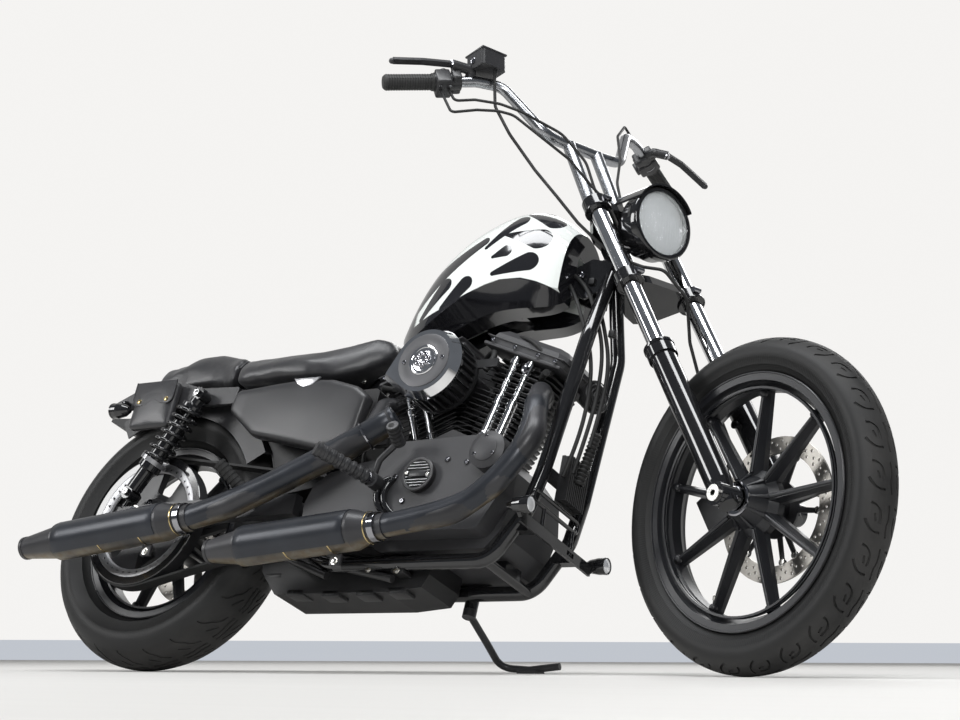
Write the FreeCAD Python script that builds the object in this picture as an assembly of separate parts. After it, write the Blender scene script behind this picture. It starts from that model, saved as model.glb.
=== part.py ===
import FreeCAD, Part
import math
import os

os.makedirs("parts", exist_ok=True)

# Everything is first drawn with the motorcycle upright, in millimetres:
# X forward from the rear axle, Y to the rider's left, Z up from the floor.
# The finished pieces are then leaned on to the side stand.

# Chassis
wheelbase = 1515.0
rake = 30.0
fork_offset = 64.0
lean_angle = 20.0
steer_angle = -22.2
frame_tube_r = 16.0
backbone_r = 22.0
rail_half_width = 90.0
rail_height = 202.0

# Wheels and tyres
front_tyre_r = 331.0
front_tyre_width = 100.0
front_crown_r = 52.0
front_bead_r = 241.3
front_bead_half = 34.0
rear_tyre_r = 323.0
rear_tyre_width = 150.0
rear_crown_r = 82.0
rear_bead_r = 203.2
rear_bead_half = 40.0
spoke_count = 9
front_disc_r = 146.0
front_disc_y = 54.5
running_gap = 5.0
rear_disc_r = 130.0
rear_disc_y = 88.0
disc_thickness = 5.0
fit_gap = 0.3

# Fork, clamps and bars
fork_tube_r = 19.5
fork_half_span = 89.0
slider_r = 27.0
slider_top = 391.0
lower_clamp_at = 592.0
upper_clamp_at = 819.0
clamp_thickness = 30.0
stem_r = 12.5
neck_r = 29.0
axle_r = 12.5
axle_bore_r = 6.0
axle_bore_depth = 40.0
axle_half_length = 121.0
boss_reach = 36.0
boss_depth = 14.0
boss_thread_r = 3.4
mirror_thread_r = 4.2
mirror_depth = 16.0
bar_r = 12.7
riser_r = 15.0
riser_half_span = 42.0
riser_top = 1084.0
grip_r = 17.5
grip_length = 118.0
cable_r = 3.2
hose_r = 3.6

# Headlamp
lamp_r = 82.0
lens_r = 70.0
lamp_height = 721.0
lamp_forward = 80.0
lamp_depth = 96.0

# Engine
crank_x = 810.0
crank_z = 345.0
cylinder_angle = 22.5
case_half_width = 98.0
deck_at = 148.0
head_top = 355.0
rocker_top = 404.0
rocker_rear = 118.0
rocker_front = 103.0
rocker_right = 88.0
rocker_left = 58.0
case_floor = 226.0
fin_pitch = 12.0
fin_thickness = 4.0
pushrod_tube_r = 9.5
cleaner_x = 768.0
cleaner_z = 626.0
cleaner_r = 83.0

# Drive
pulley_r = 160.0
belt_thickness = 6.0
belt_inner_y = -84.0
belt_width = 28.0
sprocket_r = 52.0
sprocket_x = 545.0
belt_tooth_pitch = 14.0
pivot_x = 440.0
pivot_z = 330.0
pivot_half = 78.5

# Exhaust
pipe_r = 24.0
shield_r = 28.0
muffler_r = 43.0

# Bodywork
tank_half_width = 122.0
shock_top = (107.0, 620.0)
shock_bottom = (-31.0, 374.0)
shock_y = 150.0
spring_r = 29.0

# Side stand, given where it stands once the motorcycle leans on it
stand_pivot = (808.0, 100.0, 170.0)
stand_foot_x = 872.0
stand_foot_y = 290.0
stand_r = 10.0
stand_axis = (-0.04, 0.097, 0.995)
stand_swing = 100.0


def vec(x, y, z):
    return FreeCAD.Vector(x, y, z)


def along(a, b, share):
    return a + (b - a) * share


def rod(a, b, r):
    return Part.makeCylinder(r, (b - a).Length, a, b - a)


def taper(a, b, r1, r2):
    return Part.makeCone(r1, r2, (b - a).Length, a, b - a)


def union(shapes):
    first = shapes[0]
    if len(shapes) == 1:
        return first
    return first.multiFuse(shapes[1:]).removeSplitter()


def box(x, y, z):
    """Block from pairs of limits."""
    return Part.makeBox(x[1] - x[0], y[1] - y[0], z[1] - z[0], vec(x[0], y[0], z[0]))


def rounded(points, bends, closed=False):
    """Straight runs joined by tangent arcs."""
    count = len(points)
    if not isinstance(bends, (list, tuple)):
        bends = [bends] * count
    corners = range(count) if closed else range(1, count - 1)
    starts = {}
    ends = {}
    arcs = {}
    for i in corners:
        p, q, r = points[i - 1], points[i], points[(i + 1) % count]
        u = (p - q).normalize()
        w = (r - q).normalize()
        half = u.getAngle(w) / 2.0
        if bends[i] <= 0 or abs(half - math.pi / 2) < 1e-4:
            starts[i] = ends[i] = q
            continue
        reach = bends[i] / math.tan(half)
        middle = q + (u + w).normalize() * (bends[i] / math.sin(half) - bends[i])
        starts[i] = q + u * reach
        ends[i] = q + w * reach
        arcs[i] = Part.Arc(starts[i], middle, ends[i]).toShape()
    edges = []
    spans = count if closed else count - 1
    for i in range(spans):
        j = (i + 1) % count
        a = ends.get(i, points[i])
        b = starts.get(j, points[j])
        if (b - a).Length > 1e-5:
            edges.append(Part.LineSegment(a, b).toShape())
        if j in arcs:
            edges.append(arcs[j])
    return Part.Wire(edges)


def tube(points, r, bend):
    """Round bar swept along straight runs and bends."""
    path = rounded(points, bend)
    start = points[0]
    ring = Part.Wire([Part.makeCircle(r, start, points[1] - start)])
    return path.makePipeShell([ring], True, False)


def plate(outline, y0, y1, bends=0.0):
    """Flat outline of (x, z) points, thick from y0 to y1."""
    points = [vec(x, y0, z) for x, z in outline]
    face = Part.Face(rounded(points, bends, closed=True))
    return face.extrude(vec(0, y1 - y0, 0))


def spun(profile, x, z, bends=0.0, sweep=360.0, start=0.0):
    """Profile of (radius, y) points turned about a wheel axis."""
    points = [vec(x + r, y, z) for r, y in profile]
    face = Part.Face(rounded(points, bends, closed=True))
    solid = face.revolve(vec(x, 0, z), vec(0, -1, 0), sweep)
    if start:
        solid.rotate(vec(x, 0, z), vec(0, -1, 0), start)
    return solid


def turned(profile, origin, axis, bends=0.0):
    """Profile of (radius, distance) points turned about any axis."""
    side = axis.cross(vec(0, 0, 1))
    if side.Length < 0.1:
        side = axis.cross(vec(1, 0, 0))
    side.normalize()
    forward = vec(axis.x, axis.y, axis.z).normalize()
    points = [origin + side * r + forward * s for r, s in profile]
    face = Part.Face(rounded(points, bends, closed=True))
    return face.revolve(origin, forward, 360.0)


def loft(wires):
    return Part.makeLoft(wires, True, False)


def mirrored(shape):
    return shape.mirror(vec(0, 0, 0), vec(0, 1, 0))


def pair(shape):
    return Part.makeCompound([shape, mirrored(shape)])


# Fork directions: up along the tubes, and forward across them
rake_sin = math.sin(math.radians(rake))
rake_cos = math.cos(math.radians(rake))
fork_up = vec(-rake_sin, 0, rake_cos)
fork_ahead = vec(rake_cos, 0, rake_sin)
front_axle = vec(wheelbase, 0, front_tyre_r)
rear_axle = vec(0, 0, rear_tyre_r)
steer_point = front_axle - fork_ahead * fork_offset


def on_fork(up, ahead, y):
    return front_axle + fork_up * up + fork_ahead * ahead + vec(0, y, 0)


def tyre(tyre_r, width, crown_r, bead_r, bead_half, x):
    """Hollow tyre with a round crown, bulged walls and two beads."""
    half = width / 2.0
    wall_r = (tyre_r + bead_r) / 2.0 + 8.0
    edge_r = bead_r + 16.0
    shoulder = math.radians(36.0)
    sr = tyre_r - crown_r + crown_r * math.cos(shoulder)
    sy = crown_r * math.sin(shoulder)
    skin = 10.0

    def at(r, y):
        return vec(x + r, y, tyre_r)

    def line(a, b):
        return Part.LineSegment(at(*a), at(*b)).toShape()

    def arc(a, b, c):
        return Part.Arc(at(*a), at(*b), at(*c)).toShape()

    heel = (bead_r + fit_gap, bead_half)
    toe = (bead_r + fit_gap, bead_half - skin)
    edges = [arc((sr, -sy), (tyre_r, 0), (sr, sy)), arc((sr, sy), (wall_r, half), (edge_r + 2.0, bead_half + 4.0)),
             line((edge_r + 2.0, bead_half + 4.0), (edge_r - 2.2, bead_half)), line((edge_r - 2.2, bead_half), heel),
             line(heel, toe), line(toe, (edge_r, bead_half - skin + 3.0)),
             arc((edge_r, bead_half - skin + 3.0), (wall_r, half - skin + 1.0), (sr - skin, sy - 6.0)),
             arc((sr - skin, sy - 6.0), (tyre_r - skin - 3.0, 0), (sr - skin, 6.0 - sy)),
             arc((sr - skin, 6.0 - sy), (wall_r, skin - half - 1.0), (edge_r, skin - bead_half - 3.0)),
             line((edge_r, skin - bead_half - 3.0), (toe[0], -toe[1])), line((toe[0], -toe[1]), (heel[0], -heel[1])),
             line((heel[0], -heel[1]), (edge_r - 2.2, -bead_half)),
             line((edge_r - 2.2, -bead_half), (edge_r + 2.0, -bead_half - 4.0)),
             arc((edge_r + 2.0, -bead_half - 4.0), (wall_r, -half), (sr, -sy))]
    return Part.Face(Part.Wire(edges)).revolve(vec(x, 0, tyre_r), vec(0, 1, 0), 360.0)


def wheel(tyre_r, bead_r, bead_half, hub_profile, hub_r, spoke_y, x, first_spoke):
    """Cast wheel: dropped rim with two flanges, hub and ribbed spokes."""
    lip = bead_half + fit_gap
    flange = bead_r + 13.0
    well = bead_r - 12.0
    skin = 6.0
    outer = [(bead_r - 3.0, lip + 5.0), (flange - 3.0, lip + 6.0), (flange, lip + 4.0), (flange - 1.0, lip + 0.5),
             (bead_r, lip), (bead_r, bead_half - 12.0), (well, bead_half - 20.0)]
    inner = [(bead_r - skin, lip - 4.0), (well - skin, bead_half - 22.0)]
    profile = outer + [(r, -y) for r, y in reversed(outer)]
    profile += [(r, -y) for r, y in inner] + list(reversed(inner))
    rim = spun(profile, x, tyre_r)
    hub = spun(hub_profile, x, tyre_r)
    centre = vec(x, 0, tyre_r)
    back, front, rim_back, rim_front = spoke_y
    spokes = []
    for i in range(spoke_count):
        angle = 2.0 * math.pi * i / spoke_count + math.radians(first_spoke)
        out = vec(math.cos(angle), 0, math.sin(angle))
        side = vec(-out.z, 0, out.x)
        wires = []
        for r, w, y0, y1 in ((hub_r, 12.5, back, front), (well - skin + 3.0, 8.5, rim_back, rim_front)):
            shelf = y0 + (y1 - y0) * 0.45
            section = [(-w, y0), (-w, shelf), (-w * 0.5, y1), (w * 0.5, y1), (w, shelf), (w, y0)]
            corners = [centre + out * r + side * across + vec(0, y, 0) for across, y in section]
            wires.append(Part.makePolygon(corners + [corners[0]]))
        spokes.append(Part.makeLoft(wires, True, True))
    body = union([rim, hub] + spokes)
    return body.cut(rod(vec(x, -200, tyre_r), vec(x, 200, tyre_r), axle_r + fit_gap))


def brake_disc(outer_r, y, x, z, hub_r, bore_r):
    """Brake disc: swept ring on a spider with open windows."""
    y0 = y - disc_thickness / 2.0
    y1 = y + disc_thickness / 2.0
    ring_inner = outer_r - 34.0
    ring = spun([(ring_inner, y0), (outer_r, y0), (outer_r, y1), (ring_inner, y1)], x, z)
    hub = spun([(bore_r, y0), (hub_r, y0), (hub_r, y1), (bore_r, y1)], x, z)
    arms = []
    for i in range(5):
        arm = box((hub_r - 3.0, ring_inner + 3.0), (y0 + 0.8, y1 - 0.8), (-9.0, 9.0))
        arm.translate(vec(x, 0, z))
        arm.rotate(vec(x, 0, z), vec(0, 1, 0), 72.0 * i)
        arms.append(arm)
    return union([ring, hub] + arms)


def build_front_wheel():
    hub = [(10.0, -57.0), (33.0, -57.0), (37.0, -50.0), (52.0, -22.0), (66.0, -8.0),
           (66.0, 8.0), (40.0, 16.0), (36.0, 50.0), (36.0, 57.0), (10.0, 57.0)]
    rim = wheel(front_tyre_r, front_bead_r, front_bead_half, hub, 50.0, (8.0, -24.0, 9.0, -14.0), wheelbase, 3.0)
    return {
        "front_tyre": tyre(front_tyre_r, front_tyre_width, front_crown_r, front_bead_r, front_bead_half, wheelbase),
        "front_rim": rim,
        "front_disc": brake_disc(front_disc_r, front_disc_y, wheelbase, front_tyre_r, 56.0, 36.0 + fit_gap),
    }


def build_rear_wheel():
    hub = [(10.0, -82.0), (53.0, -82.0), (53.0, -64.0), (44.0, -60.0), (44.0, -18.0), (62.0, -10.0),
           (62.0, 10.0), (44.0, 18.0), (40.0, 60.0), (40.0, 94.0), (10.0, 94.0)]
    rim = wheel(rear_tyre_r, rear_bead_r, rear_bead_half, hub, 46.0, (12.0, -16.0, 12.0, -12.0), 0.0, 12.0)
    y0 = belt_inner_y + 1.5
    y1 = belt_inner_y - belt_width - 1.5
    pulley = spun([(20.0, y0), (pulley_r, y0), (pulley_r, y1), (pulley_r - 18.0, y1), (pulley_r - 22.0, y1 + 10.0),
                   (60.0, y1 + 14.0), (52.0, y1 + 4.0), (20.0, y1 + 4.0)], 0.0, rear_tyre_r)
    windows = [rod(vec(0, -200, rear_tyre_r), vec(0, 200, rear_tyre_r), axle_r + fit_gap)]
    for i in range(5):
        hole = plate([(-24, 72), (24, 72), (34, 128), (-34, 128)], -200.0, 0.0, 8.0)
        hole.translate(rear_axle)
        hole.rotate(rear_axle, vec(0, 1, 0), 72.0 * i + 20.0)
        windows.append(hole)
    return {
        "rear_tyre": tyre(rear_tyre_r, rear_tyre_width, rear_crown_r, rear_bead_r, rear_bead_half, 0.0),
        "rear_rim": rim,
        "rear_pulley": pulley.cut(Part.makeCompound(windows)),
        "rear_disc": brake_disc(rear_disc_r, rear_disc_y, 0.0, rear_tyre_r, 52.0, 40.0 + fit_gap),
    }


def boss_point(inward):
    """Point on the right fender boss's axis, inward from the slider's middle."""
    return on_fork(228.0, -6.0, inward - fork_half_span)


def build_fork():
    """Everything that turns with the handlebar, apart from the wheel."""
    tubes = pair(rod(on_fork(slider_top - 60.0, 0, -fork_half_span),
                     on_fork(upper_clamp_at + clamp_thickness / 2.0, 0, -fork_half_span), fork_tube_r))
    slider = union([
        rod(on_fork(30.0, 0, -fork_half_span), on_fork(slider_top - 26.0, 0, -fork_half_span), slider_r),
        rod(on_fork(slider_top - 30.0, 0, -fork_half_span), on_fork(slider_top, 0, -fork_half_span), slider_r + 4.0),
        taper(on_fork(-24.0, 0, -fork_half_span), on_fork(31.0, 0, -fork_half_span), 20.0, slider_r),
        rod(on_fork(0, 0, -fork_half_span - 27.0), on_fork(0, 0, -fork_half_span + 25.0), 24.0),
        rod(boss_point(14.0), boss_point(boss_reach), 9.0),
    ])
    slider = slider.cut(rod(boss_point(boss_reach - boss_depth), boss_point(boss_reach + 5.0), boss_thread_r))
    slider = slider.cut(rod(on_fork(0, 0, -160.0), on_fork(0, 0, 0.0), axle_r + fit_gap))
    slider = slider.cut(rod(on_fork(slider_top - 61.0, 0, -fork_half_span),
                            on_fork(slider_top + 5.0, 0, -fork_half_span), fork_tube_r + fit_gap))
    axle = union([
        rod(on_fork(0, 0, -axle_half_length + 8.0), on_fork(0, 0, axle_half_length), axle_r),
        rod(on_fork(0, 0, -axle_half_length), on_fork(0, 0, -axle_half_length + 9.0 - 4.5), axle_r + 3.5),
    ])
    axle = union([axle, rod(on_fork(0, 0, -axle_half_length + 4.0), on_fork(0, 0, -axle_half_length + 9.0), axle_r)])
    axle = axle.cut(rod(on_fork(0, 0, -axle_half_length - 5.0), on_fork(0, 0, -axle_half_length + axle_bore_depth), axle_bore_r))
    return {
        "fork_tubes": tubes,
        "fork_sliders": pair(slider),
        "front_axle": axle,
        "upper_clamp": clamp(upper_clamp_at, False),
        "lower_clamp": clamp(lower_clamp_at, True),
    }


def clamp(up, with_stem):
    """Fork clamp: two split eyes joined by a bridge over the steering stem."""
    lo = up - clamp_thickness / 2.0
    hi = up + clamp_thickness / 2.0
    eye_r = fork_tube_r + 9.0
    pieces = []
    for side in (-1, 1):
        y = side * fork_half_span
        pieces.append(rod(on_fork(lo, 0, y), on_fork(hi, 0, y), eye_r))
    reach = fork_half_span
    outline = [(10.0, -reach), (18.0, -40.0), (18.0, 40.0), (10.0, reach), (-20.0, reach),
               (-fork_offset - 22.0, 34.0), (-fork_offset - 34.0, 0.0), (-fork_offset - 22.0, -34.0), (-20.0, -reach)]
    points = [on_fork(lo + 4.0, ahead, y) for ahead, y in outline]
    bridge = Part.Face(Part.makePolygon(points + [points[0]])).extrude(fork_up * (clamp_thickness - 8.0))
    pieces.append(bridge)
    if with_stem:
        pieces.append(rod(on_fork(lo + 6.0, -fork_offset, 0), on_fork(upper_clamp_at - 12.0, -fork_offset, 0), stem_r))
    body = union(pieces)
    for side in (-1, 1):
        y = side * fork_half_span
        body = body.cut(rod(on_fork(lo - 5.0, 0, y), on_fork(hi + 5.0, 0, y), fork_tube_r + 0.05))
    if not with_stem:
        body = body.cut(rod(on_fork(lo - 5.0, -fork_offset, 0), on_fork(hi + 5.0, -fork_offset, 0), stem_r + fit_gap))
    return body


def bar_points(side):
    """Right or left half of the handlebar, from its middle out to the grip's end."""
    half = [(riser_top, -33.0, -70.0), (riser_top, -30.0, -112.0), (1222.0, -34.0, -192.0),
            (1235.2, -53.5, -248.0), (1250.0, -150.0, -436.0)]
    return [on_fork(a, b, -side * y) for a, b, y in half]


def bar_tube(r):
    path = list(reversed(bar_points(-1))) + bar_points(1)
    return tube(path, r, [0, 60.0, 45.0, 45.0, 0, 0, 45.0, 45.0, 60.0, 0])


def build_handlebar():
    base = upper_clamp_at + clamp_thickness / 2.0 - 4.0 + fit_gap
    risers = [rod(on_fork(base, -47.0, side * riser_half_span), on_fork(riser_top, -33.0, side * riser_half_span),
                  riser_r) for side in (-1, 1)]
    bar = union([bar_tube(bar_r)] + risers)
    bar = bar.common(turned([(0.0, base), (900.0, base), (900.0, 1500.0), (0.0, 1500.0)], front_axle, fork_up))
    grips = []
    for side in (-1, 1):
        end, knee = bar_points(side)[-1], bar_points(side)[-2]
        out = (end - knee).normalize()
        start = end - out * (grip_length - 6.0)
        profile = [(0.0, 0.0), (grip_r + 3.0, 0.0), (grip_r + 3.0, 5.0), (grip_r, 8.0),
                   (grip_r, grip_length - 4.0), (grip_r - 4.0, grip_length), (0.0, grip_length)]
        grips.append(turned(profile, start, out).cut(rod(start - out * 5.0, end + out * 3.0, bar_r + fit_gap)))
    return {"handlebar": bar, "grips": Part.makeCompound(grips)}


def blade(points, half_width, half_height):
    """Flat lever blade through (up, ahead, y) fork points."""
    path = [on_fork(*p) for p in points]
    pieces = []
    for i in range(len(path) - 1):
        a, b = path[i], path[i + 1]
        run = (b - a).normalize()
        wide = fork_ahead.cross(run).cross(run).normalize()
        tall = run.cross(wide).normalize()
        corners = [a + wide * half_width + tall * half_height, a - wide * half_width + tall * half_height,
                   a - wide * half_width - tall * half_height, a + wide * half_width - tall * half_height]
        face = Part.Face(Part.makePolygon(corners + [corners[0]]))
        pieces.append(face.extrude(b - a))
        pieces.append(Part.makeSphere(half_height * 1.15, b))
    return union(pieces)


def mirror_boss(side):
    """Foot and top of the threaded mirror boss on a lever perch."""
    end, knee = bar_points(side)[-1], bar_points(side)[-2]
    out = (end - knee).normalize()
    foot = end - out * (grip_length - 6.0 + 30.0) + fork_up * 14.0
    return foot, foot + fork_up * 24.0


def build_hand_controls():
    """Switch housings, lever perches, master cylinder and levers on both ends of the bar."""
    room = bar_tube(bar_r + 0.05)
    solids = []
    for side in (-1, 1):
        end, knee = bar_points(side)[-1], bar_points(side)[-2]
        out = (end - knee).normalize()
        inner = end - out * (grip_length - 6.0)
        housing = rod(inner - out * 36.0, inner - out * 0.5, 22.0)
        pieces = [housing]
        if side < 0:
            pieces.append(tube([on_fork(1243.0, -60.0, -262.0), on_fork(1256.0, -42.0, -262.0),
                                on_fork(1262.0, -50.0, -310.0)], 12.0, 10.0))
            pieces.append(rod(inner - out * 62.0, inner - out * 36.5, 20.0))
            can = box((-32.0, 32.0), (-34.0, 34.0), (-20.0, 22.0))
            can = can.makeFillet(8.0, [e for e in can.Edges if abs(e.tangentAt(e.FirstParameter).z) > 0.9])
            can.rotate(vec(0, 0, 0), vec(0, 1, 0), -6.0)
            can.translate(on_fork(1262.0, -18.0, -236.0))
            pieces.append(can)
            pieces.append(blade([(1268.0, -52.0, -306.0), (1285.0, -84.0, -366.0), (1288.0, -112.0, -430.0)], 7.0, 4.5))
        else:
            pieces.append(rod(inner - out * 62.0, inner - out * 36.5, 20.0))
            pieces.append(tube([inner - out * 50.0, on_fork(1222.0, -44.0, 292.0), on_fork(1208.0, -30.0, 322.0)],
                               11.0, 8.0))
            pieces.append(blade([(1208.0, -30.0, 318.0), (1192.0, -30.0, 362.0), (1150.0, -38.0, 430.0)], 7.0, 4.5))
        foot, top = mirror_boss(side)
        pieces.append(rod(foot, top, 10.0))
        body = union(pieces).cut(room)
        solids.append(body.cut(rod(top - fork_up * mirror_depth, top + fork_up * 5.0, mirror_thread_r)))
    return Part.makeCompound(solids)


def build_cables():
    """Cables and brake hose, held at both ends and following the bar and the fork."""
    top = upper_clamp_at + clamp_thickness / 2.0 - 4.0
    high = [(1217.6, -87.0, -311.0), (1172.0, -84.0, -309.0), (1164.0, -58.0, -272.0), (1139.0, -30.0, -229.0),
            (1097.0, -5.0, -197.0), (1045.0, 10.0, -111.0), (975.0, 5.0, -62.0), (901.0, -10.0, -53.0),
            (858.0, -22.0, -24.0), (top, -22.0, -24.0)]
    low = [(1218.6, -96.0, -328.0), (1132.0, -92.0, -326.0), (1121.0, -56.0, -282.0), (1106.0, -30.0, -245.0),
           (1082.0, -12.0, -222.0), (1013.0, 0.0, -173.0), (967.0, 0.0, -109.0), (911.0, -8.0, -64.0),
           (860.0, -6.0, -34.0), (top, -6.0, -34.0)]
    bends = [0, 14.0, 20.0, 60.0, 60.0, 60.0, 60.0, 50.0, 20.0, 0]
    pull = [tube([on_fork(*q) for q in path], cable_r, bends) for path in (high, low)]
    end, knee = bar_points(1)[-1], bar_points(1)[-2]
    out = (end - knee).normalize()
    above = (fork_up - out * fork_up.dot(out)).normalize()
    face = end - out * (grip_length + 56.1) + above * (bar_r + 4.0)
    path = [face, face - out * 22.0] + [on_fork(*q) for q in (
        (1247.0, -22.0, 190.0), (1160.0, -6.0, 118.0), (1060.0, -4.0, 84.0), (960.0, -8.0, 36.0), (862.0, -20.0, 24.0),
        (top, -20.0, 24.0))]
    clutch = tube(path, cable_r, [0, 20.0, 20.0, 40.0, 40.0, 60.0, 30.0, 0])
    path = [(1235.3, -8.1, -226.0), (1214.0, -20.0, -226.0), (1148.0, -46.0, -228.0), (1062.0, -50.0, -212.0),
            (960.0, -52.0, -174.0), (880.0, -48.0, -142.0), (812.0, -50.0, -106.0), (750.0, -42.0, -74.0),
            (690.0, -22.0, -60.0), (625.0, 20.0, -50.0), (592.0, 52.0, -30.0), (530.0, 44.0, 16.0), (460.0, -12.0, 40.0),
            (390.0, -46.0, 66.0), (330.0, -52.0, 90.0), (220.0, -60.0, 92.0), (168.0, -108.0, 90.0),
            (132.0, -108.0, 90.0)]
    hose = tube([on_fork(*q) for q in path], hose_r,
                [0, 14.0, 40.0, 80.0, 80.0, 60.0, 50.0, 50.0, 40.0, 30.0, 30.0, 40.0, 50.0, 40.0, 40.0, 40.0, 20.0, 0])
    return {"control_cables": Part.makeCompound(pull + [clutch]), "brake_hose": hose}


def build_headlamp():
    centre = on_fork(lamp_height, lamp_forward, 0)
    ahead = vec(1, 0, 0)
    bucket = turned([(0.0, -lamp_depth), (34.0, -lamp_depth), (60.0, -78.0), (75.0, -50.0), (lamp_r - 4.0, -18.0),
                     (lamp_r, -16.0), (lamp_r, -2.0), (lamp_r - 6.0, 2.0), (lens_r + 1.0, 2.0), (lens_r + 1.0, -12.0),
                     (lens_r - 8.0, -14.0), (40.0, -60.0), (0.0, -72.0)], centre, ahead)
    mount = union([rod(centre + vec(-lamp_depth + 4.0, 0, -10.0), on_fork(upper_clamp_at - 60.0, -8.0, 0.0), 14.0),
                   rod(on_fork(upper_clamp_at - 60.0, -8.0, 0.0), on_fork(upper_clamp_at - 10.0, -8.0, 0.0), 14.0)])
    bucket = union([bucket, mount]).cut(build_fork_clamps_space())
    lens = turned([(0.0, -9.0), (lens_r + 0.7, -9.0), (lens_r + 0.7, 0.0), (lens_r - 10.0, 5.0), (40.0, 9.0),
                   (0.0, 11.0)], centre, ahead)
    shell = turned([(lamp_r + fit_gap, -76.0), (lamp_r + fit_gap, 10.0), (lamp_r + 4.0, 10.0), (lamp_r + 4.0, -76.0)],
                   centre, ahead)
    keep = box((centre.x - 90.0, centre.x + 20.0), (-74.0, 74.0), (centre.z + 40.0, centre.z + 120.0))
    visor = shell.common(keep)
    return {"headlamp_bucket": bucket, "headlamp_lens": lens, "headlamp_visor": visor}


def build_fork_clamps_space():
    lo = upper_clamp_at - clamp_thickness / 2.0 + 4.0 - fit_gap
    return Part.Face(Part.makePolygon([on_fork(lo, -90.0, -120.0), on_fork(lo, 40.0, -120.0), on_fork(lo, 40.0, 120.0),
                                       on_fork(lo, -90.0, 120.0), on_fork(lo, -90.0, -120.0)])).extrude(fork_up * 60.0)


def fork_block(up, ahead, y):
    """Block lying along the fork, from pairs of limits."""
    block = box(ahead, y, up)
    block.rotate(vec(0, 0, 0), vec(0, 1, 0), -rake)
    block.translate(front_axle)
    return block


def build_front_caliper():
    inner = front_disc_y - disc_thickness / 2.0 - running_gap
    outer = front_disc_y + disc_thickness / 2.0 + running_gap
    return union([
        fork_block((48.0, 132.0), (-152.0, -76.0), (outer, 96.0)),
        fork_block((52.0, 70.0), (-80.0, -26.0), (78.0, 96.0)),
        fork_block((112.0, 130.0), (-80.0, -26.0), (78.0, 96.0)),
        fork_block((48.0, 132.0), (-152.0, -84.0), (inner - 18.0, inner)),
        fork_block((98.0, 132.0), (-152.0, -122.0), (inner - 18.0, 96.0)),
    ]).cut(rod(on_fork(0, 0, fork_half_span), on_fork(200, 0, fork_half_span), slider_r + fit_gap))


def cradle_points(side):
    """One frame cradle, from the neck down, back under the engine and up to the seat."""
    rail_y = side * rail_half_width
    return [vec(1080, side * 8, 905), vec(1087, side * 68, 724), vec(1050, side * 85, 400), vec(1032, rail_y, 310),
            vec(965, rail_y, rail_height), vec(560, rail_y, rail_height), vec(470, side * 62, 236),
            vec(455, side * 62, 640)]


cradle_bends = [0, 90.0, 90.0, 70.0, 60.0, 60.0, 70.0, 0]
backbone_points = [on_fork(742.0, -fork_offset, 0), vec(935, 0, 862), vec(650, 0, 818), vec(548, 0, 738),
                   vec(490, 0, 640)]


def build_frame():
    """Welded tube frame: neck, backbone, two cradles and the seat rails."""
    neck = rod(on_fork(626.0, -fork_offset, 0), on_fork(788.0, -fork_offset, 0), neck_r)
    pieces = [neck, tube(backbone_points, backbone_r, 50.0)]
    for side in (-1, 1):
        pieces.append(tube(cradle_points(side), frame_tube_r, cradle_bends))
        pieces.append(tube([vec(455, side * 62, 630), vec(340, side * 92, 640), vec(150, side * 104, 640),
                            vec(-60, side * 104, 640)], 13.0, 60.0))
        pieces.append(rod(vec(455, side * 62, 610), vec(490, 0, 640), 11.0))
        pieces.append(rod(vec(shock_top[0], side * 104, shock_top[1]), vec(shock_top[0], side * 134, shock_top[1]), 11.0))
        pieces.append(rod(vec(455, side * 66, 540), vec(455, side * 111.7, 540), 9.0))
        pieces.append(rod(vec(320, side * 93, 630), vec(320, side * 111.7, 630), 7.0))
        for x in (-50.0, 60.0):
            pieces.append(rod(vec(x, side * 104, 640), vec(x, side * 88.3, 640), 8.0))
        pieces.append(plate([(985, 862), (996, 922), (1036, 940), (1090, 925), (1075, 860), (1030, 840)],
                            side * 27.0, side * 21.0, 8.0))
    for x, z, reach in ((490.0, 640.0, 45.0), (455.0, 245.0, 62.0), (720.0, rail_height, 88.0), (955.0, rail_height, 88.0)):
        pieces.append(rod(vec(x, -reach, z), vec(x, reach, z), 11.0))
    pieces.append(rod(vec(1017, -30, 899), vec(1017, 30, 899), 8.0))
    pieces.append(rod(vec(pivot_x, -pivot_half, pivot_z), vec(pivot_x, pivot_half, pivot_z), 19.0))
    pieces.append(box((700.0, 740.0), (-30.0, 30.0), (rail_height, case_floor - fit_gap)))
    pieces.append(box((938.0, 966.0), (-30.0, 30.0), (rail_height, case_floor - fit_gap)))
    pivot = vec(*stand_pivot)
    hinge = vec(*stand_axis).normalize()
    pieces.append(rod(pivot, pivot + hinge * 28.0, 15.0))
    return union(pieces).cut(rod(on_fork(600.0, -fork_offset, 0), on_fork(820.0, -fork_offset, 0), stem_r + fit_gap))


def build_swingarm():
    pieces = []
    for side, y0, y1 in ((-1, -142.0, -118.0), (1, 100.0, 124.0)):
        arm = plate([(462, 306), (462, 354), (120, 352), (-50, 346), (-62, 334), (-62, 312), (-50, 300), (120, 300)],
                    y0, y1)
        pieces.append(arm.cut(rod(vec(0, y0 - 5, rear_tyre_r), vec(0, y1 + 5, rear_tyre_r), axle_r + fit_gap)))
        inner = y1 if side < 0 else y0
        pieces.append(rod(vec(pivot_x, side * (pivot_half + fit_gap), pivot_z), vec(pivot_x, inner + side * 5.0, pivot_z), 22.0))
    pieces.append(box((362.0, 402.0), (-119.0, 101.0), (306.0, 352.0)))
    return union(pieces)


def engine_axis(direction):
    angle = math.radians(cylinder_angle) * direction
    return vec(math.sin(angle), 0, math.cos(angle))


def on_engine(direction, s, t, y):
    """Point s along a cylinder and t across it, forward."""
    up = engine_axis(direction)
    across = vec(up.z, 0, -up.x)
    return vec(crank_x, y, crank_z) + up * s + across * t


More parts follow.
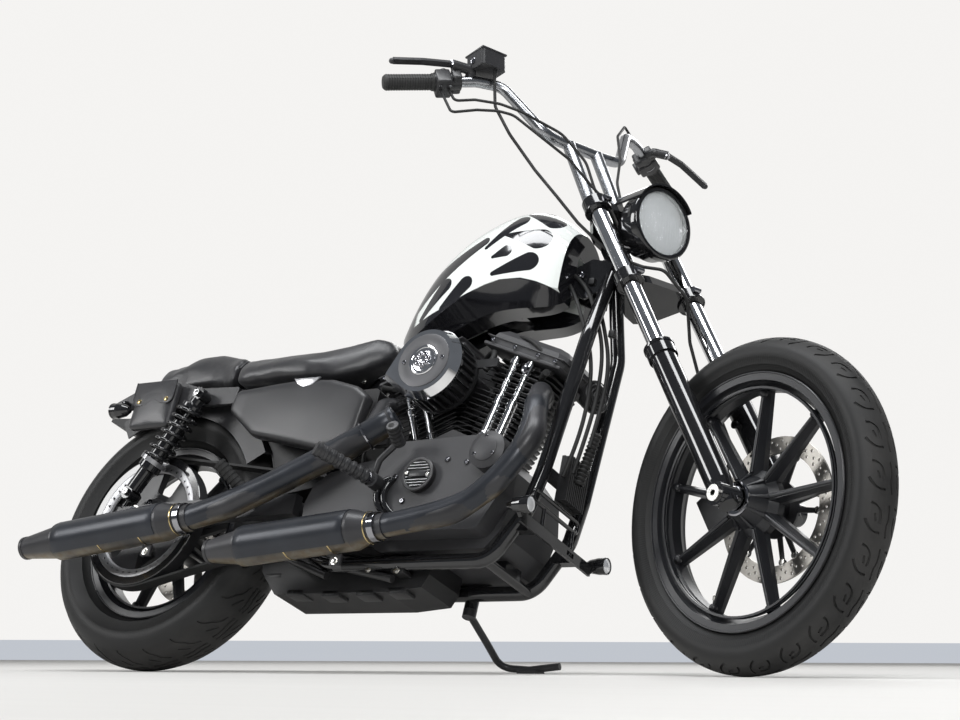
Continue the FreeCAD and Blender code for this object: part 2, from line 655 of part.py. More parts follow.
def chamfered(direction, s, t0, t1, y0, y1, cut):
    """Outline square to a cylinder, with cut corners."""
    outline = [(t0, y0 + cut), (t0 + cut, y0), (t1 - cut, y0), (t1, y0 + cut),
               (t1, y1 - cut), (t1 - cut, y1), (t0 + cut, y1), (t0, y1 - cut)]
    points = [on_engine(direction, s, t, y) for t, y in outline]
    return Part.makePolygon(points + [points[0]])


def slab(direction, s0, s1, t0, t1, y0, y1, cut):
    return Part.Face(chamfered(direction, s0, t0, t1, y0, y1, cut)).extrude(engine_axis(direction) * (s1 - s0))


def exhaust_port(direction):
    """Where the exhaust port starts inside the head, and where it ends."""
    return on_engine(direction, 300.0, 50.0 * direction, -20.0), on_engine(direction, 296.0, 80.0 * direction, -66.0)


def build_cylinder(direction):
    """Finned barrel and head with its exhaust port."""
    base = deck_at + fit_gap
    pieces = [slab(direction, base, head_top, -50.0, 50.0, -48.0, 48.0, 24.0)]
    s = base
    while s < head_top - 10.0:
        head = s > 286.0
        outer = 78.0 if head else 72.0
        inner = min(outer, s * math.tan(math.radians(cylinder_angle)) - 2.0)
        t0, t1 = (-inner, outer) if direction > 0 else (-outer, inner)
        pieces.append(slab(direction, s, s + fin_thickness, t0, t1, -68.0 if head else -62.0, 62.0,
                           14.0 if head else 26.0))
        s += fin_pitch
    pieces.append(rod(*exhaust_port(direction), 25.0))
    return union(pieces)


def build_rocker_cover(direction):
    back, front = (rocker_rear, rocker_front) if direction > 0 else (rocker_front, rocker_rear)
    base = head_top + fit_gap
    split = head_top + 22.0
    low = slab(direction, base, split, 2.0 - back, front - 2.0, -rocker_right + 2.0, rocker_left - 2.0, 14.0)
    wires = [chamfered(direction, s, inset - back, front - inset, -rocker_right + inset * 0.8,
                       rocker_left - inset * 0.8, cut)
             for s, inset, cut in ((split - 0.5, 0.0, 16.0), (rocker_top - 14.0, 3.0, 18.0), (rocker_top, 20.0, 14.0))]
    return union([low, Part.makeLoft(wires, True, True)])


def build_pushrod_tubes():
    """Four slim tubes from the tappet blocks up to the heads."""
    solids = []
    for direction, tops in ((1, ((9.0, -20.0), (48.0, 22.0))), (-1, ((-37.0, -40.0), (3.0, -2.0)))):
        for t0, t1 in tops:
            foot = on_engine(direction, deck_at + fit_gap, t0, -82.0)
            low = foot + engine_axis(direction) * 16.0
            high = on_engine(direction, head_top - 4.0, t1, -79.0)
            knee = along(low, high, 0.42)
            solids.append(union([rod(foot, low, pushrod_tube_r + 5.0), rod(low, knee, pushrod_tube_r + 1.5),
                                 rod(knee, high, pushrod_tube_r - 1.0), Part.makeSphere(pushrod_tube_r + 1.5, low)]))
    return Part.makeCompound(solids)


def build_engine():
    """Crankcase, gearbox and covers of a narrow twin."""
    deck = [on_engine(1, deck_at, 76.0, 0), on_engine(1, deck_at, -deck_at * math.tan(math.radians(cylinder_angle)), 0),
            on_engine(-1, deck_at, -76.0, 0)]
    top = [(p.x, p.z) for p in deck]
    case = plate([(640, 250), (690, case_floor), (950, case_floor), (980, 262), (996, 330), (985, 400)] + top
                 + [(650, 440)], -case_half_width, case_half_width)
    gearbox = plate([(494, 262), (540, 240), (690, case_floor), (690, 446), (540, 436), (494, 396)], -76.0,
                    case_half_width)
    cam = plate([(668, 252), (955, 248), (998, 330), (992, 420), (940, 462), (720, 458), (668, 424)],
                -148.0, -case_half_width, 24.0)
    bulge = union([rod(vec(968, -140, 408), vec(968, -182, 408), 42.0),
                   taper(vec(968, -182, 408), vec(968, -190, 408), 42.0, 28.0)])
    timer = turned([(0.0, 0.0), (37.0, 0.0), (38.0, 3.0), (38.0, 12.0), (33.0, 14.0), (33.0, 11.0), (0.0, 11.0)],
                   vec(792, -148.0, 372), vec(0, -1, 0))
    sprocket = union([
        plate([(494, 268), (540, 240), (667, 240), (667, 424), (600, 414), (540, 398), (504, 372), (490, 330)],
              -142.0, -118.0, 16.0),
        box((640.0, 667.0), (-119.0, -case_half_width), (255.0, 415.0)),
    ])
    primary = plate([(500, 330), (520, 246), (610, 222), (830, 218), (925, 250), (962, 340), (925, 430),
                     (830, 462), (610, 440), (520, 414)], case_half_width, 158.0, 40.0)
    primary = primary.makeFillet(14.0, [e for e in primary.Edges if e.BoundBox.YMin > 157.0])
    floor = case_floor - fit_gap
    pan = plate([(340, 250), (346, 206), (396, 152), (700, 151), (786, 160), (800, 188), (800, floor), (690, floor),
                 (540, 240 - fit_gap), (494, 262 - fit_gap), (440, 256)], -60.0, 60.0)
    pan = pan.cut(build_frame())
    intake = union([box((776.0, 848.0), (-34.0, 46.0), (566.0, 700.0)), box((770.0, 846.0), (46.0, 60.0), (500.0, 690.0)),
                    rod(vec(crank_x, -90, 618), vec(crank_x, 0, 618), 30.0)])
    battery = plate([(452, 452), (560, 470), (566, 640), (468, 640)], -70.0, 70.0, 12.0).cut(build_frame())
    front, rear = build_cylinder(1), build_cylinder(-1)
    intake = intake.cut(front).cut(rear).cut(union([case, gearbox]))
    return {
        "crankcase": union([case, gearbox]),
        "cylinder_front": front,
        "cylinder_rear": rear,
        "rocker_cover_front": build_rocker_cover(1),
        "rocker_cover_rear": build_rocker_cover(-1),
        "pushrod_tubes": build_pushrod_tubes(),
        "cam_cover": union([cam, bulge]),
        "timer_cover": timer,
        "sprocket_cover": sprocket,
        "primary_cover": primary,
        "belly_pan": pan,
        "intake_body": intake,
        "battery_case": battery,
    }


def crank_space(x, z):
    """Room above the sloping floor of the gearbox."""
    return plate([(494, 262 - fit_gap), (540, 240 - fit_gap), (x + 5, case_floor - fit_gap), (x + 5, z + 40), (494, z + 40)],
                 -120.0, 120.0)


def teardrop(scale, y):
    """Closed teardrop outline of the air cleaner, tip down to the rear."""
    cx, cz, r = cleaner_x, cleaner_z, cleaner_r * scale
    tip = vec(cx - 105.0 * scale, y, cz - 26.0 * scale)
    centre = vec(cx, y, cz)
    back = (tip - centre)
    spread = math.acos(r / back.Length)
    base = math.atan2(back.z, back.x)
    a = centre + vec(math.cos(base + spread), 0, math.sin(base + spread)) * r
    b = centre + vec(math.cos(base - spread), 0, math.sin(base - spread)) * r
    far = centre - vec(math.cos(base), 0, math.sin(base)) * r
    return Part.Wire([Part.Arc(a, far, b).toShape(), Part.LineSegment(b, tip).toShape(),
                      Part.LineSegment(tip, a).toShape()])


def build_air_cleaner():
    cover = union([Part.makeLoft([teardrop(1.0, -168.0), teardrop(1.03, -178.0)], True, True),
                   Part.makeLoft([teardrop(1.03, -178.0), teardrop(0.9, -196.0)], True, True)])
    band = Part.Face(teardrop(0.86, -112.0)).extrude(vec(0, -55.7, 0))
    back = Part.Face(teardrop(1.0, -104.0)).extrude(vec(0, -8.5, 0))
    ribs = []
    for i in range(26):
        angle = math.radians(-160.0 + i * 12.4)
        rib = box((cleaner_r - 14.0, cleaner_r - 1.0), (-167.7, -112.0), (-3.0, 3.0))
        rib.rotate(vec(0, 0, 0), vec(0, 1, 0), -math.degrees(angle))
        rib.translate(vec(cleaner_x, 0, cleaner_z))
        ribs.append(rib)
    intake = rod(vec(crank_x, -105, 618), vec(crank_x, -90.3, 618), 26.0)
    bracket = union([box((800.0, 898.0), (-110.0, -104.0), (644.0, 664.0)),
                     rod(vec(886, -106, 654), vec(886, -68.3, 654), 9.0)])
    return {"air_cleaner_cover": cover, "air_filter": union([band, back, intake, bracket] + ribs)}


def tank_section(x, top, low, half, floor_z):
    """Closed tank outline: round top, turned-in belly and a flat floor."""
    mid = low + (top - low) * 0.45
    crown = Part.BSplineCurve()
    crown.interpolate([vec(x, -half, low), vec(x, -half * 0.98, mid), vec(x, -half * 0.62, top - (top - low) * 0.12),
                       vec(x, 0, top), vec(x, half * 0.62, top - (top - low) * 0.12), vec(x, half * 0.98, mid),
                       vec(x, half, low)])
    edges = [crown.toShape(), Part.LineSegment(vec(x, half, low), vec(x, half * 0.6, floor_z)).toShape(),
             Part.LineSegment(vec(x, half * 0.6, floor_z), vec(x, -half * 0.6, floor_z)).toShape(),
             Part.LineSegment(vec(x, -half * 0.6, floor_z), vec(x, -half, low)).toShape()]
    return Part.Wire(edges)


def build_tank():
    wide = tank_half_width
    sections = [(578, 812, 766, wide * 0.34, 758), (628, 912, 752, wide * 0.66, 738), (700, 998, 780, wide * 0.9, 752),
                (790, 1054, 830, wide, 790), (875, 1076, 856, wide, 806), (945, 1056, 846, wide * 0.93, 806),
                (1000, 1012, 836, wide * 0.72, 820)]
    body = loft([tank_section(*row) for row in sections])
    tunnel = tube(backbone_points, backbone_r + fit_gap, 50.0)
    gap = backbone_r + 3.0
    rear_slot = box((560.0, 1040.0), (-gap, gap), (700.0, 818.0))
    front_slot = box((880.0, 1040.0), (-gap - 4.0, gap + 4.0), (780.0, 905.0))
    bracket_slot = box((972.0, 1040.0), (-gap - 4.0, gap + 4.0), (860.0, 948.0))
    return body.cut(tunnel).cut(rear_slot).cut(front_slot).cut(bracket_slot)


def cushion_section(x, top, low, half):
    points = [vec(x, -half, low), vec(x, -half, low + (top - low) * 0.5), vec(x, -half * 0.8, top),
              vec(x, 0, top + 8.0), vec(x, half * 0.8, top), vec(x, half, low + (top - low) * 0.5), vec(x, half, low)]
    return Part.makePolygon(points + [points[0]])


def build_seat():
    rows = [(-118, 715, 676, 70), (-90, 742, 672, 92), (0, 762, 678, 104), (80, 762, 676, 108), (135, 745, 664, 116),
            (205, 728, 656, 140), (300, 722, 655, 150), (400, 728, 652, 146), (470, 752, 660, 118), (520, 776, 686, 92),
            (552, 772, 712, 72), (568, 752, 728, 56)]
    seat = Part.makeLoft([cushion_section(*row) for row in rows], True, True)
    return seat.cut(tube(backbone_points, backbone_r + 3.0, 50.0))


def build_side_cover():
    outline = [(194, 578), (206, 630), (376, 640), (487, 634), (563, 610), (596, 584), (580, 468), (484, 458),
               (390, 482), (282, 508)]
    outer = plate(outline, -146.0, -112.0, 12.0)
    edge = [e for e in outer.Edges if e.BoundBox.YMax < -145.5]
    return outer.makeFillet(9.0, edge)


def build_rear_fender():
    inner = rear_tyre_r + 16.0
    outer = inner + 4.0
    half = rear_tyre_width / 2.0 + 10.0
    profile = [(inner - 58.0, -half), (inner - 10.0, -half), (inner, -half + 22.0), (inner, half - 22.0),
               (inner - 10.0, half), (inner - 58.0, half), (inner - 58.0, half + 3.0), (outer - 8.0, half + 3.0),
               (outer, half - 20.0), (outer, -half + 20.0), (outer - 8.0, -half - 3.0), (inner - 58.0, -half - 3.0)]
    return spun(profile, 0.0, rear_tyre_r, sweep=94.0, start=30.0)


def build_fender_struts():
    strut = plate([(192, 604), (198, 646), (80, 652), (20, 672), (-120, 666), (-190, 634), (-178, 612), (-60, 622),
                   (60, 606)], -128.0, -117.3, 6.0)
    return strut.cut(rod(vec(shock_top[0], -80, shock_top[1]), vec(shock_top[0], -140, shock_top[1]), 11.0 + fit_gap))


def shock_point(share, y):
    top = vec(shock_top[0], y, shock_top[1])
    low = vec(shock_bottom[0], y, shock_bottom[1])
    return along(low, top, share)


def build_shocks():
    low = shock_point(0, -shock_y)
    axis = (shock_point(1, -shock_y) - low)
    length = axis.Length
    axis.normalize()
    body = union([
        turned([(0.0, 12.0), (19.0, 12.0), (19.0, 66.0), (27.0, 70.0), (27.0, 88.0), (30.0, 88.0), (30.0, 94.0),
                (20.0, 94.0), (20.0, length - 80.0), (7.0, length - 80.0), (7.0, length - 40.0), (27.0, length - 40.0),
                (27.0, length - 32.0), (16.0, length - 26.0), (16.0, length - 12.0), (0.0, length - 12.0)], low, axis),
        rod(low + vec(0, 14, 0), low - vec(0, 14, 0), 16.0),
        rod(low + axis * length + vec(0, 14, 0), low + axis * length - vec(0, 14, 0), 16.0),
        rod(low + axis * length + vec(0, 15.7, 0), low + axis * length - vec(0, 21, 0), 9.0),
        rod(low + vec(0, 7.5, 0), low - vec(0, 21, 0), 9.0),
    ])
    count = 7
    start = 97.0
    end = length - 43.0
    pitch = (end - start) / count
    profile = [(21.0, start)]
    for i in range(count):
        s = start + pitch * (i + 0.5)
        profile += [(22.5, s - 6.5), (spring_r, s - 3.0), (spring_r, s + 3.0), (22.5, s + 6.5)]
    profile.append((21.0, end))
    spring = turned(profile, low, axis)
    return {"shocks": pair(body), "shock_springs": pair(spring)}


def muffler(start, end, neck, r, tail):
    """Muffler body with a cone at the front and a long taper at the tail."""
    axis = (end - start)
    length = axis.Length
    axis.normalize()
    return turned([(0.0, -2.0), (neck, -2.0), (neck, 26.0), (r, 74.0), (r, length - tail),
                   (r - 4.0, length - tail + 2.0), (r - 18.0, length), (r - 24.0, length), (r - 24.0, length - 60.0),
                   (0.0, length - 60.0)], start, axis)


def build_exhausts():
    inside, mouth = exhaust_port(1)
    flow = (mouth - inside).normalize()
    front_pipe = tube([mouth + flow * fit_gap, mouth + flow * 30.0, vec(1046, -150, 522), vec(1080, -186, 430),
                       vec(1010, -192, 322), vec(930, -197, 262), vec(762, -200, 238)],
                      pipe_r, [0, 30.0, 60.0, 60.0, 60.0, 90.0, 0])
    front = union([front_pipe, muffler(vec(770, -200, 239), vec(306, -196, 199), pipe_r + 3.0, muffler_r, 92.0)])
    inside, mouth = exhaust_port(-1)
    flow = (mouth - inside).normalize()
    shield = tube([vec(692, -152, 514), vec(590, -172, 437), vec(330, -196, 306), vec(206, -198, 279)], shield_r,
                  [0, 60.0, 90.0, 0])
    header = tube([mouth + flow * fit_gap, mouth + flow * 32.0, vec(640, -160, 480)], 20.0, 24.0)
    rear = union([shield, header, muffler(vec(228, -198, 283), vec(-270, -194, 227), shield_r + 3.0, muffler_r, 110.0)])
    return {"exhaust_front": front, "exhaust_rear": rear}


def belt_outline(offset):
    """Belt loop round the pulley and sprocket, offset from the pulley's rim."""
    r1 = pulley_r + offset
    r2 = sprocket_r + offset
    span = vec(sprocket_x, 0, crank_z - rear_tyre_r)
    lean = math.atan2(span.z, span.x)
    open_angle = math.asin((r1 - r2) / span.Length)
    top = lean + math.pi / 2 - open_angle
    low = lean - math.pi / 2 + open_angle
    small = vec(sprocket_x, 0, crank_z)

    def at(centre, r, angle):
        return centre + vec(math.cos(angle), 0, math.sin(angle)) * r

    return Part.Wire([
        Part.LineSegment(at(rear_axle, r1, top), at(small, r2, top)).toShape(),
        Part.Arc(at(small, r2, top), at(small, r2, lean), at(small, r2, low)).toShape(),
        Part.LineSegment(at(small, r2, low), at(rear_axle, r1, low)).toShape(),
        Part.Arc(at(rear_axle, r1, low), at(rear_axle, r1, lean + math.pi), at(rear_axle, r1, top)).toShape(),
    ])


def build_belt():
    outer = Part.Face(belt_outline(belt_thickness))
    inner = Part.Face(belt_outline(0.5))
    loop = outer.cut(inner).extrude(vec(0, -belt_width, 0))
    loop.translate(vec(0, belt_inner_y, 0))
    return loop


def build_foot_controls():
    """Rider pegs on their brackets, brake pedal on the right and shift lever on the left."""
    solids = []
    for side, face in ((-1, 148.3), (1, 158.3)):
        base = rod(vec(690, side * face, 356), vec(690, side * 184, 356), 17.0)
        peg = taper(vec(686, side * 180, 358), vec(612, side * 290, 384), 12.0, 16.0)
        arm = tube([vec(690, side * 176, 366), vec(700, side * 182, 400), vec(742, side * 184, 440)], 7.0, 20.0)
        pad = rod(vec(740, side * 176, 438), vec(748, side * 226, 458), 13.0)
        solids.append(union([base, peg, arm, pad]))
    return Part.makeCompound(solids)


def build_passenger_pegs():
    solids = []
    for side, face in ((-1, 142.3), (1, 124.3)):
        inner = vec(345, side * face, 340)
        knee = vec(345, side * 166, 340)
        outer = vec(290, side * 226, 400)
        solids.append(union([rod(inner, knee, 13.0), rod(vec(345, side * 154, 340), outer, 14.0)]))
    return Part.makeCompound(solids)


def build_electrics():
    """Horn, finned regulator and the front indicator bracket."""
    face = vec(0.97, -0.24, 0)
    horn = turned([(0.0, -22.0), (22.0, -22.0), (34.0, -6.0), (36.0, 0.0), (36.0, 6.0), (30.0, 8.0), (12.0, 4.0),
                   (0.0, 6.0)], vec(1088, -8, 603), face)
    horn = union([horn, box((1052.0, 1076.0), (-60.0, 30.0), (594.0, 608.0))]).cut(frame_space())
    fins = [box((1058.0, 1066.0), (-38.0, 38.0), (352.0, 456.0)), box((1034.0, 1058.0), (-86.0, 86.0), (396.0, 414.0))]
    for i in range(11):
        fins.append(box((1065.0, 1084.0), (-38.0 + i * 7.2, -34.0 + i * 7.2), (354.0, 454.0)))
    regulator = union(fins).cut(frame_space())
    strip = box((1054.0, 1060.0), (-146.0, 146.0), (260.0, 284.0)).cut(box((1040.0, 1070.0), (42.0, 70.0), (267.0, 277.0)))
    ring = rounded([vec(1053, -108, 326), vec(1053, 76, 326), vec(1053, 76, 350), vec(1053, -108, 350)], 10.0, True)
    hoop = ring.makePipeShell([Part.Wire([Part.makeCircle(4.5, vec(1053, 0, 326), vec(0, 1, 0))])], True, False)
    feet = [box((1010.0, 1055.0), (y - 12.0, y + 12.0), (262.0, 282.0)) for y in (-86.0, 86.0)]
    legs = [rod(vec(1055, y, 270), vec(1053, y, 326), 4.5) for y in (-60.0, 60.0)]
    bracket = union([strip, hoop] + feet + legs).cut(frame_space())
    return {"horn": horn, "regulator": regulator, "indicator_bracket": bracket}


def frame_space():
    """Room round the two cradle tubes for pieces that fit against them."""
    return Part.makeCompound([tube(cradle_points(side)[:6], frame_tube_r + fit_gap, cradle_bends[:6])
                              for side in (-1, 1)])


def bullet(tip, axis, length, r):
    """Bullet-shaped indicator with a flat face for its lens."""
    return turned([(0.0, 0.0), (r, 0.0), (r, length * 0.3), (r * 0.82, length * 0.65), (r * 0.45, length * 0.93),
                   (0.0, length)], tip, axis)


def build_indicators():
    front = []
    rear = []
    for side in (-1, 1):
        body = bullet(vec(1086, side * 162, 289), vec(-1, 0, 0), 56.0, 18.0)
        stalk = rod(vec(1057, side * 146.3, 272), vec(1057, side * 158, 280), 6.0)
        front.append(union([body, stalk]).cut(box((1040.0, 1070.0), (-146.3, 146.3), (240.0, 290.0))))
        body = bullet(vec(-166, side * 148, 601), vec(1, 0, 0), 52.0, 19.0)
        rear.append(union([body, tube([vec(-143, side * 128.3, 626), vec(-143, side * 148, 626), vec(-143, side * 148, 603)],
                                      6.0, 9.0)]))
    tail = plate([(-110, 648), (-110, 668), (-200, 640), (-290, 646), (-292, 638), (-205, 600)], -34.0, 34.0)
    tail = tail.cut(rod(vec(0, -60, rear_tyre_r), vec(0, 60, rear_tyre_r), rear_tyre_r + 20.0 + fit_gap))
    return {"indicators": Part.makeCompound(front + rear), "tail_bracket": tail}


def build_small_parts():
    pouch = box((-108.0, 24.0), (-152.0, -128.3), (546.0, 668.0))
    pouch = pouch.makeFillet(9.0, [e for e in pouch.Edges if e.BoundBox.YMax < -151.0])
    axle = union([rod(vec(0, -150, rear_tyre_r), vec(0, 134, rear_tyre_r), axle_r),
                  rod(vec(0, -156, rear_tyre_r), vec(0, -142.3, rear_tyre_r), 18.0),
                  rod(vec(0, 124.3, rear_tyre_r), vec(0, 138, rear_tyre_r), 18.0)])
    inner = rear_disc_y - disc_thickness / 2.0 - running_gap
    outer = rear_disc_y + disc_thickness / 2.0 + running_gap
    caliper = union([box((60.0, 120.0), (inner - 14.0, inner), (384.0, 462.0)),
                     box((56.0, 124.0), (outer, 118.0), (380.0, 462.0)),
                     box((60.0, 120.0), (inner - 14.0, 118.0), (450.0, 462.0)),
                     box((70.0, 110.0), (101.0, 116.0), (352.0 + fit_gap, 384.0))])
    return {"tool_pouch": pouch, "rear_axle": axle, "rear_caliper": caliper}


def turn_steer(shape):
    shape = shape.copy()
    shape.rotate(steer_point, fork_up, steer_angle)
    return shape


def placement(pitch, drop, shift):
    lean = FreeCAD.Placement(vec(0, 0, 0), FreeCAD.Rotation(vec(1, 0, 0), -lean_angle))
    dip = FreeCAD.Placement(vec(0, 0, 0), FreeCAD.Rotation(vec(0, 1, 0), pitch))
    move = FreeCAD.Placement(vec(shift.x, shift.y, drop), FreeCAD.Rotation())
    return move.multiply(dip).multiply(lean)


def lowest(centre, axis, tyre_r, crown_r):
    """Height of the lowest point of a leaned tyre with a round crown."""
    camber = math.asin(min(1.0, abs(axis.z)))
    return centre.z - (tyre_r - crown_r) * math.cos(camber) - crown_r


def settle():
    """Small pitch and drop that set both leaned tyres on the floor."""
    turn = FreeCAD.Rotation(fork_up, steer_angle)
    steered = steer_point + turn.multVec(front_axle - steer_point)
    front_dir = turn.multVec(vec(0, 1, 0))
    pitch = 0.0
    drop = 0.0
    for _ in range(6):
        m = placement(pitch, 0.0, vec(0, 0, 0))
        rear_low = lowest(m.multVec(rear_axle), m.Rotation.multVec(vec(0, 1, 0)), rear_tyre_r, rear_crown_r)
        front_low = lowest(m.multVec(steered), m.Rotation.multVec(front_dir), front_tyre_r, front_crown_r)
        pitch += math.degrees(math.atan2(front_low - rear_low, wheelbase))
        drop = -rear_low
    return pitch, drop


settle_pitch, settle_drop = settle()
centre_shift = vec(-750.4, -375.0, 0.0)
stance = placement(settle_pitch, settle_drop, centre_shift)


def build_side_stand():
    """Leg and flat foot, drawn where they stand under the leaned motorcycle."""
    pivot = stance.multVec(vec(*stand_pivot))
    hinge = stance.Rotation.multVec(vec(*stand_axis)).normalize()
    foot = vec(stand_foot_x, stand_foot_y, 0) + centre_shift
    foot.z = stand_r - 2.0
    ankle = foot + vec(-72, -4, 4)
    head = pivot - hinge * 9.0
    leg = tube([head, head + (ankle - head) * 0.5 + vec(0, 6, -4), ankle, foot, foot + vec(70, 10, 8)],
               stand_r - 2.0, [0, 60.0, 30.0, 60.0, 0])
    pad = box((foot.x - 24.0, foot.x + 26.0), (foot.y - 16.0, foot.y + 18.0), (0.0, 7.0))
    eye = rod(pivot - hinge * 0.5, pivot - hinge * 18.0, 15.0)
    return union([leg, pad, eye])


def build_all():
    fixed = {"frame_tubes": build_frame(), "swingarm": build_swingarm()}
    fixed.update(build_engine())
    fixed.update(build_air_cleaner())
    cover = build_side_cover()
    fixed.update({
        "fuel_tank": build_tank(),
        "seat": build_seat(),
        "side_cover_right": cover,
        "side_cover_left": mirrored(cover),
        "rear_fender": build_rear_fender(),
        "fender_struts": pair(build_fender_struts()),
        "drive_belt": build_belt(),
        "foot_controls": build_foot_controls(),
        "passenger_pegs": build_passenger_pegs(),
    })
    fixed.update(build_shocks())
    fixed.update(build_exhausts())
    fixed.update(build_electrics())
    fixed.update(build_indicators())
    fixed.update(build_small_parts())
    steered = build_fork()
    steered.update(build_handlebar())
    steered["hand_controls"] = build_hand_controls()
    steered.update(build_cables())
    steered.update(build_headlamp())
    steered["front_caliper"] = build_front_caliper()
    front = build_front_wheel()
    rear = build_rear_wheel()
    bodies = {"frame": {}, "fork": {}, "front_wheel": {}, "rear_wheel": {}, "side_stand": {}}
    for name, shape in fixed.items():
        bodies["frame"][name] = shape
    for name, shape in rear.items():
        bodies["rear_wheel"][name] = shape
    for name, shape in steered.items():
        bodies["fork"][name] = turn_steer(shape)
    for name, shape in front.items():
        bodies["front_wheel"][name] = turn_steer(shape)
    placed = {}
    for body, pieces in bodies.items():
        placed[body] = {}
        for name, shape in pieces.items():
            placed[body][name] = moved(shape)
    placed["side_stand"]["side_stand"] = build_side_stand()
    return placed


def moved(shape):
    shape = shape.copy()
    shape.Placement = stance.multiply(shape.Placement)
    return shape


def main():
    placed = build_all()
    limits = FreeCAD.BoundBox()
    for body, pieces in placed.items():
        for name, shape in pieces.items():
            shape.exportStep("parts/%s.step" % name)
            limits.add(shape.BoundBox)
            print("%-12s %-20s solids %2d volume %10.0f valid %s" % (
                body, name, len(shape.Solids), shape.Volume, shape.isValid()))
    print("box", [round(v, 1) for v in (limits.XMin, limits.XMax, limits.YMin, limits.YMax, limits.ZMin, limits.ZMax)])


if __name__ == "__main__":
    main()
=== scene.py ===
import math
import bpy
from mathutils import Matrix, Vector


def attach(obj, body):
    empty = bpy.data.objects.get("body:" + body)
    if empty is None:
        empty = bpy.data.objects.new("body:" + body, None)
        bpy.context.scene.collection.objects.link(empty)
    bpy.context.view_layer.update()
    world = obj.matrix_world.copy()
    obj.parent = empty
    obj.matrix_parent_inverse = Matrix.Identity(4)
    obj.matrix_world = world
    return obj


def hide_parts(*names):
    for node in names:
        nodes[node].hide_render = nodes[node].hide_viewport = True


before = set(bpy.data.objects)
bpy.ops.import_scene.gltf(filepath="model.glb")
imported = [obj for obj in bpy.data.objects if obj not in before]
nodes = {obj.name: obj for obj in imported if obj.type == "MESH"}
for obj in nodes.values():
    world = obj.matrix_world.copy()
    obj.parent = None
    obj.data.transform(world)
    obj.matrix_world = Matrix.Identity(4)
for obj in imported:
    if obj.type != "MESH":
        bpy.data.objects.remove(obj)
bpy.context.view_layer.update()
scene = bpy.context.scene
print("CAD frame loaded")

# how the motorcycle rests: leaned on its side stand, with the fork turned to the right
rest = {
    "lean": 20.0,
    "pitch": -0.23945,
    "place": (-750.4, -375.0, 4.9481),
    "forkTurn": -22.2,
    "rake": 30.0,
    "wheelbase": 1515.0,
    "frontRadius": 331.0,
    "rearRadius": 323.0,
    "forkOffset": 64.0,
    "forkHalfSpan": 89.0,
}
mm = 0.001
aheadWay, leftWay, rightWay, upWay = (Vector(way) for way in ((1, 0, 0), (0, 1, 0), (0, -1, 0), (0, 0, 1)))
bothSides = (("right", -1), ("left", 1))


def spot(x, y, z):
    return Vector((x, y, z)) * mm


def spots(places):
    return [spot(*place) for place in places]


def moved(x, y, z):
    return Matrix.Translation(spot(x, y, z))


def spun(degrees, axis):
    return Matrix.Rotation(math.radians(degrees), 4, axis)


rake = math.radians(rest["rake"])
forkUp = Vector((-math.sin(rake), 0, math.cos(rake)))
forkAhead = Vector((math.cos(rake), 0, math.sin(rake)))
frontAxle = spot(rest["wheelbase"], 0, rest["frontRadius"])
rearAxle = spot(0, 0, rest["rearRadius"])
steerPoint = frontAxle - forkAhead * rest["forkOffset"] * mm
bikeMatrix = (
    Matrix.Translation(Vector(rest["place"]) * mm)
    @ spun(rest["pitch"], "Y")
    @ spun(-rest["lean"], "X")
)
forkMatrix = (
    bikeMatrix
    @ Matrix.Translation(steerPoint)
    @ spun(rest["forkTurn"], forkUp)
    @ Matrix.Translation(-steerPoint)
)
bodyMatrix = {"frame": bikeMatrix, "rear_wheel": bikeMatrix, "fork": forkMatrix,
              "front_wheel": forkMatrix, "side_stand": Matrix()}


def onFork(up, ahead, y):
    return frontAxle + (forkUp * up + forkAhead * ahead) * mm + Vector((0, y * mm, 0))


def along(a, b, share):
    return a + (b - a) * share


# camera: low, in front of the right side
view = {"place": (2.3015, -3.6405, 0.0363), "azimuth": 33.0, "upward": 9.03, "lens": 71.04,
        "sensor": 36.0, "farthest": 100.0}
cameraData = bpy.data.cameras.new("camera")
cameraData.lens = view["lens"]
cameraData.sensor_width = view["sensor"]
cameraData.clip_end = view["farthest"]
camera = bpy.data.objects.new("camera", cameraData)
scene.collection.objects.link(camera)
aim = spun(view["azimuth"], "Z") @ spun(90.0 + view["upward"], "X")
camera.matrix_world = (
    Matrix.Translation(view["place"]) @ spun(rest["pitch"], "Y") @ aim
)
scene.camera = camera


# modelling helpers: every piece is made on the upright motorcycle, in metres, from sizes in millimetres
def deselect():
    if bpy.context.mode != "OBJECT":
        bpy.ops.object.mode_set(mode="OBJECT")
    bpy.ops.object.select_all(action="DESELECT")


def pick(piece):
    deselect()
    piece.select_set(True)
    bpy.context.view_layer.objects.active = piece
    return piece


def edit(piece, everything=True):
    pick(piece)
    bpy.ops.object.mode_set(mode="EDIT")
    bpy.ops.mesh.select_all(action="SELECT" if everything else "DESELECT")


def done(piece):
    bpy.ops.object.mode_set(mode="OBJECT")
    return piece


def placed(piece, matrix):
    piece.data.transform(matrix)
    return piece


def facing(origin, direction, turn=0.0):
    z = direction.normalized()
    side = leftWay if abs(z.y) < 0.9 else upWay
    x = side.cross(z).normalized()
    basis = Matrix((x, z.cross(x), z)).transposed().to_4x4()
    return Matrix.Translation(origin) @ basis @ spun(turn, "Z")


def rod(a, b, radius, endRadius=None, sides=24):
    deselect()
    last = radius if endRadius is None else endRadius
    depth = (b - a).length
    bpy.ops.mesh.primitive_cone_add(vertices=sides, radius1=radius * mm, radius2=last * mm, depth=depth,
                                    location=(0, 0, depth / 2))
    bpy.ops.object.transform_apply()
    return placed(bpy.context.object, facing(a, b - a))


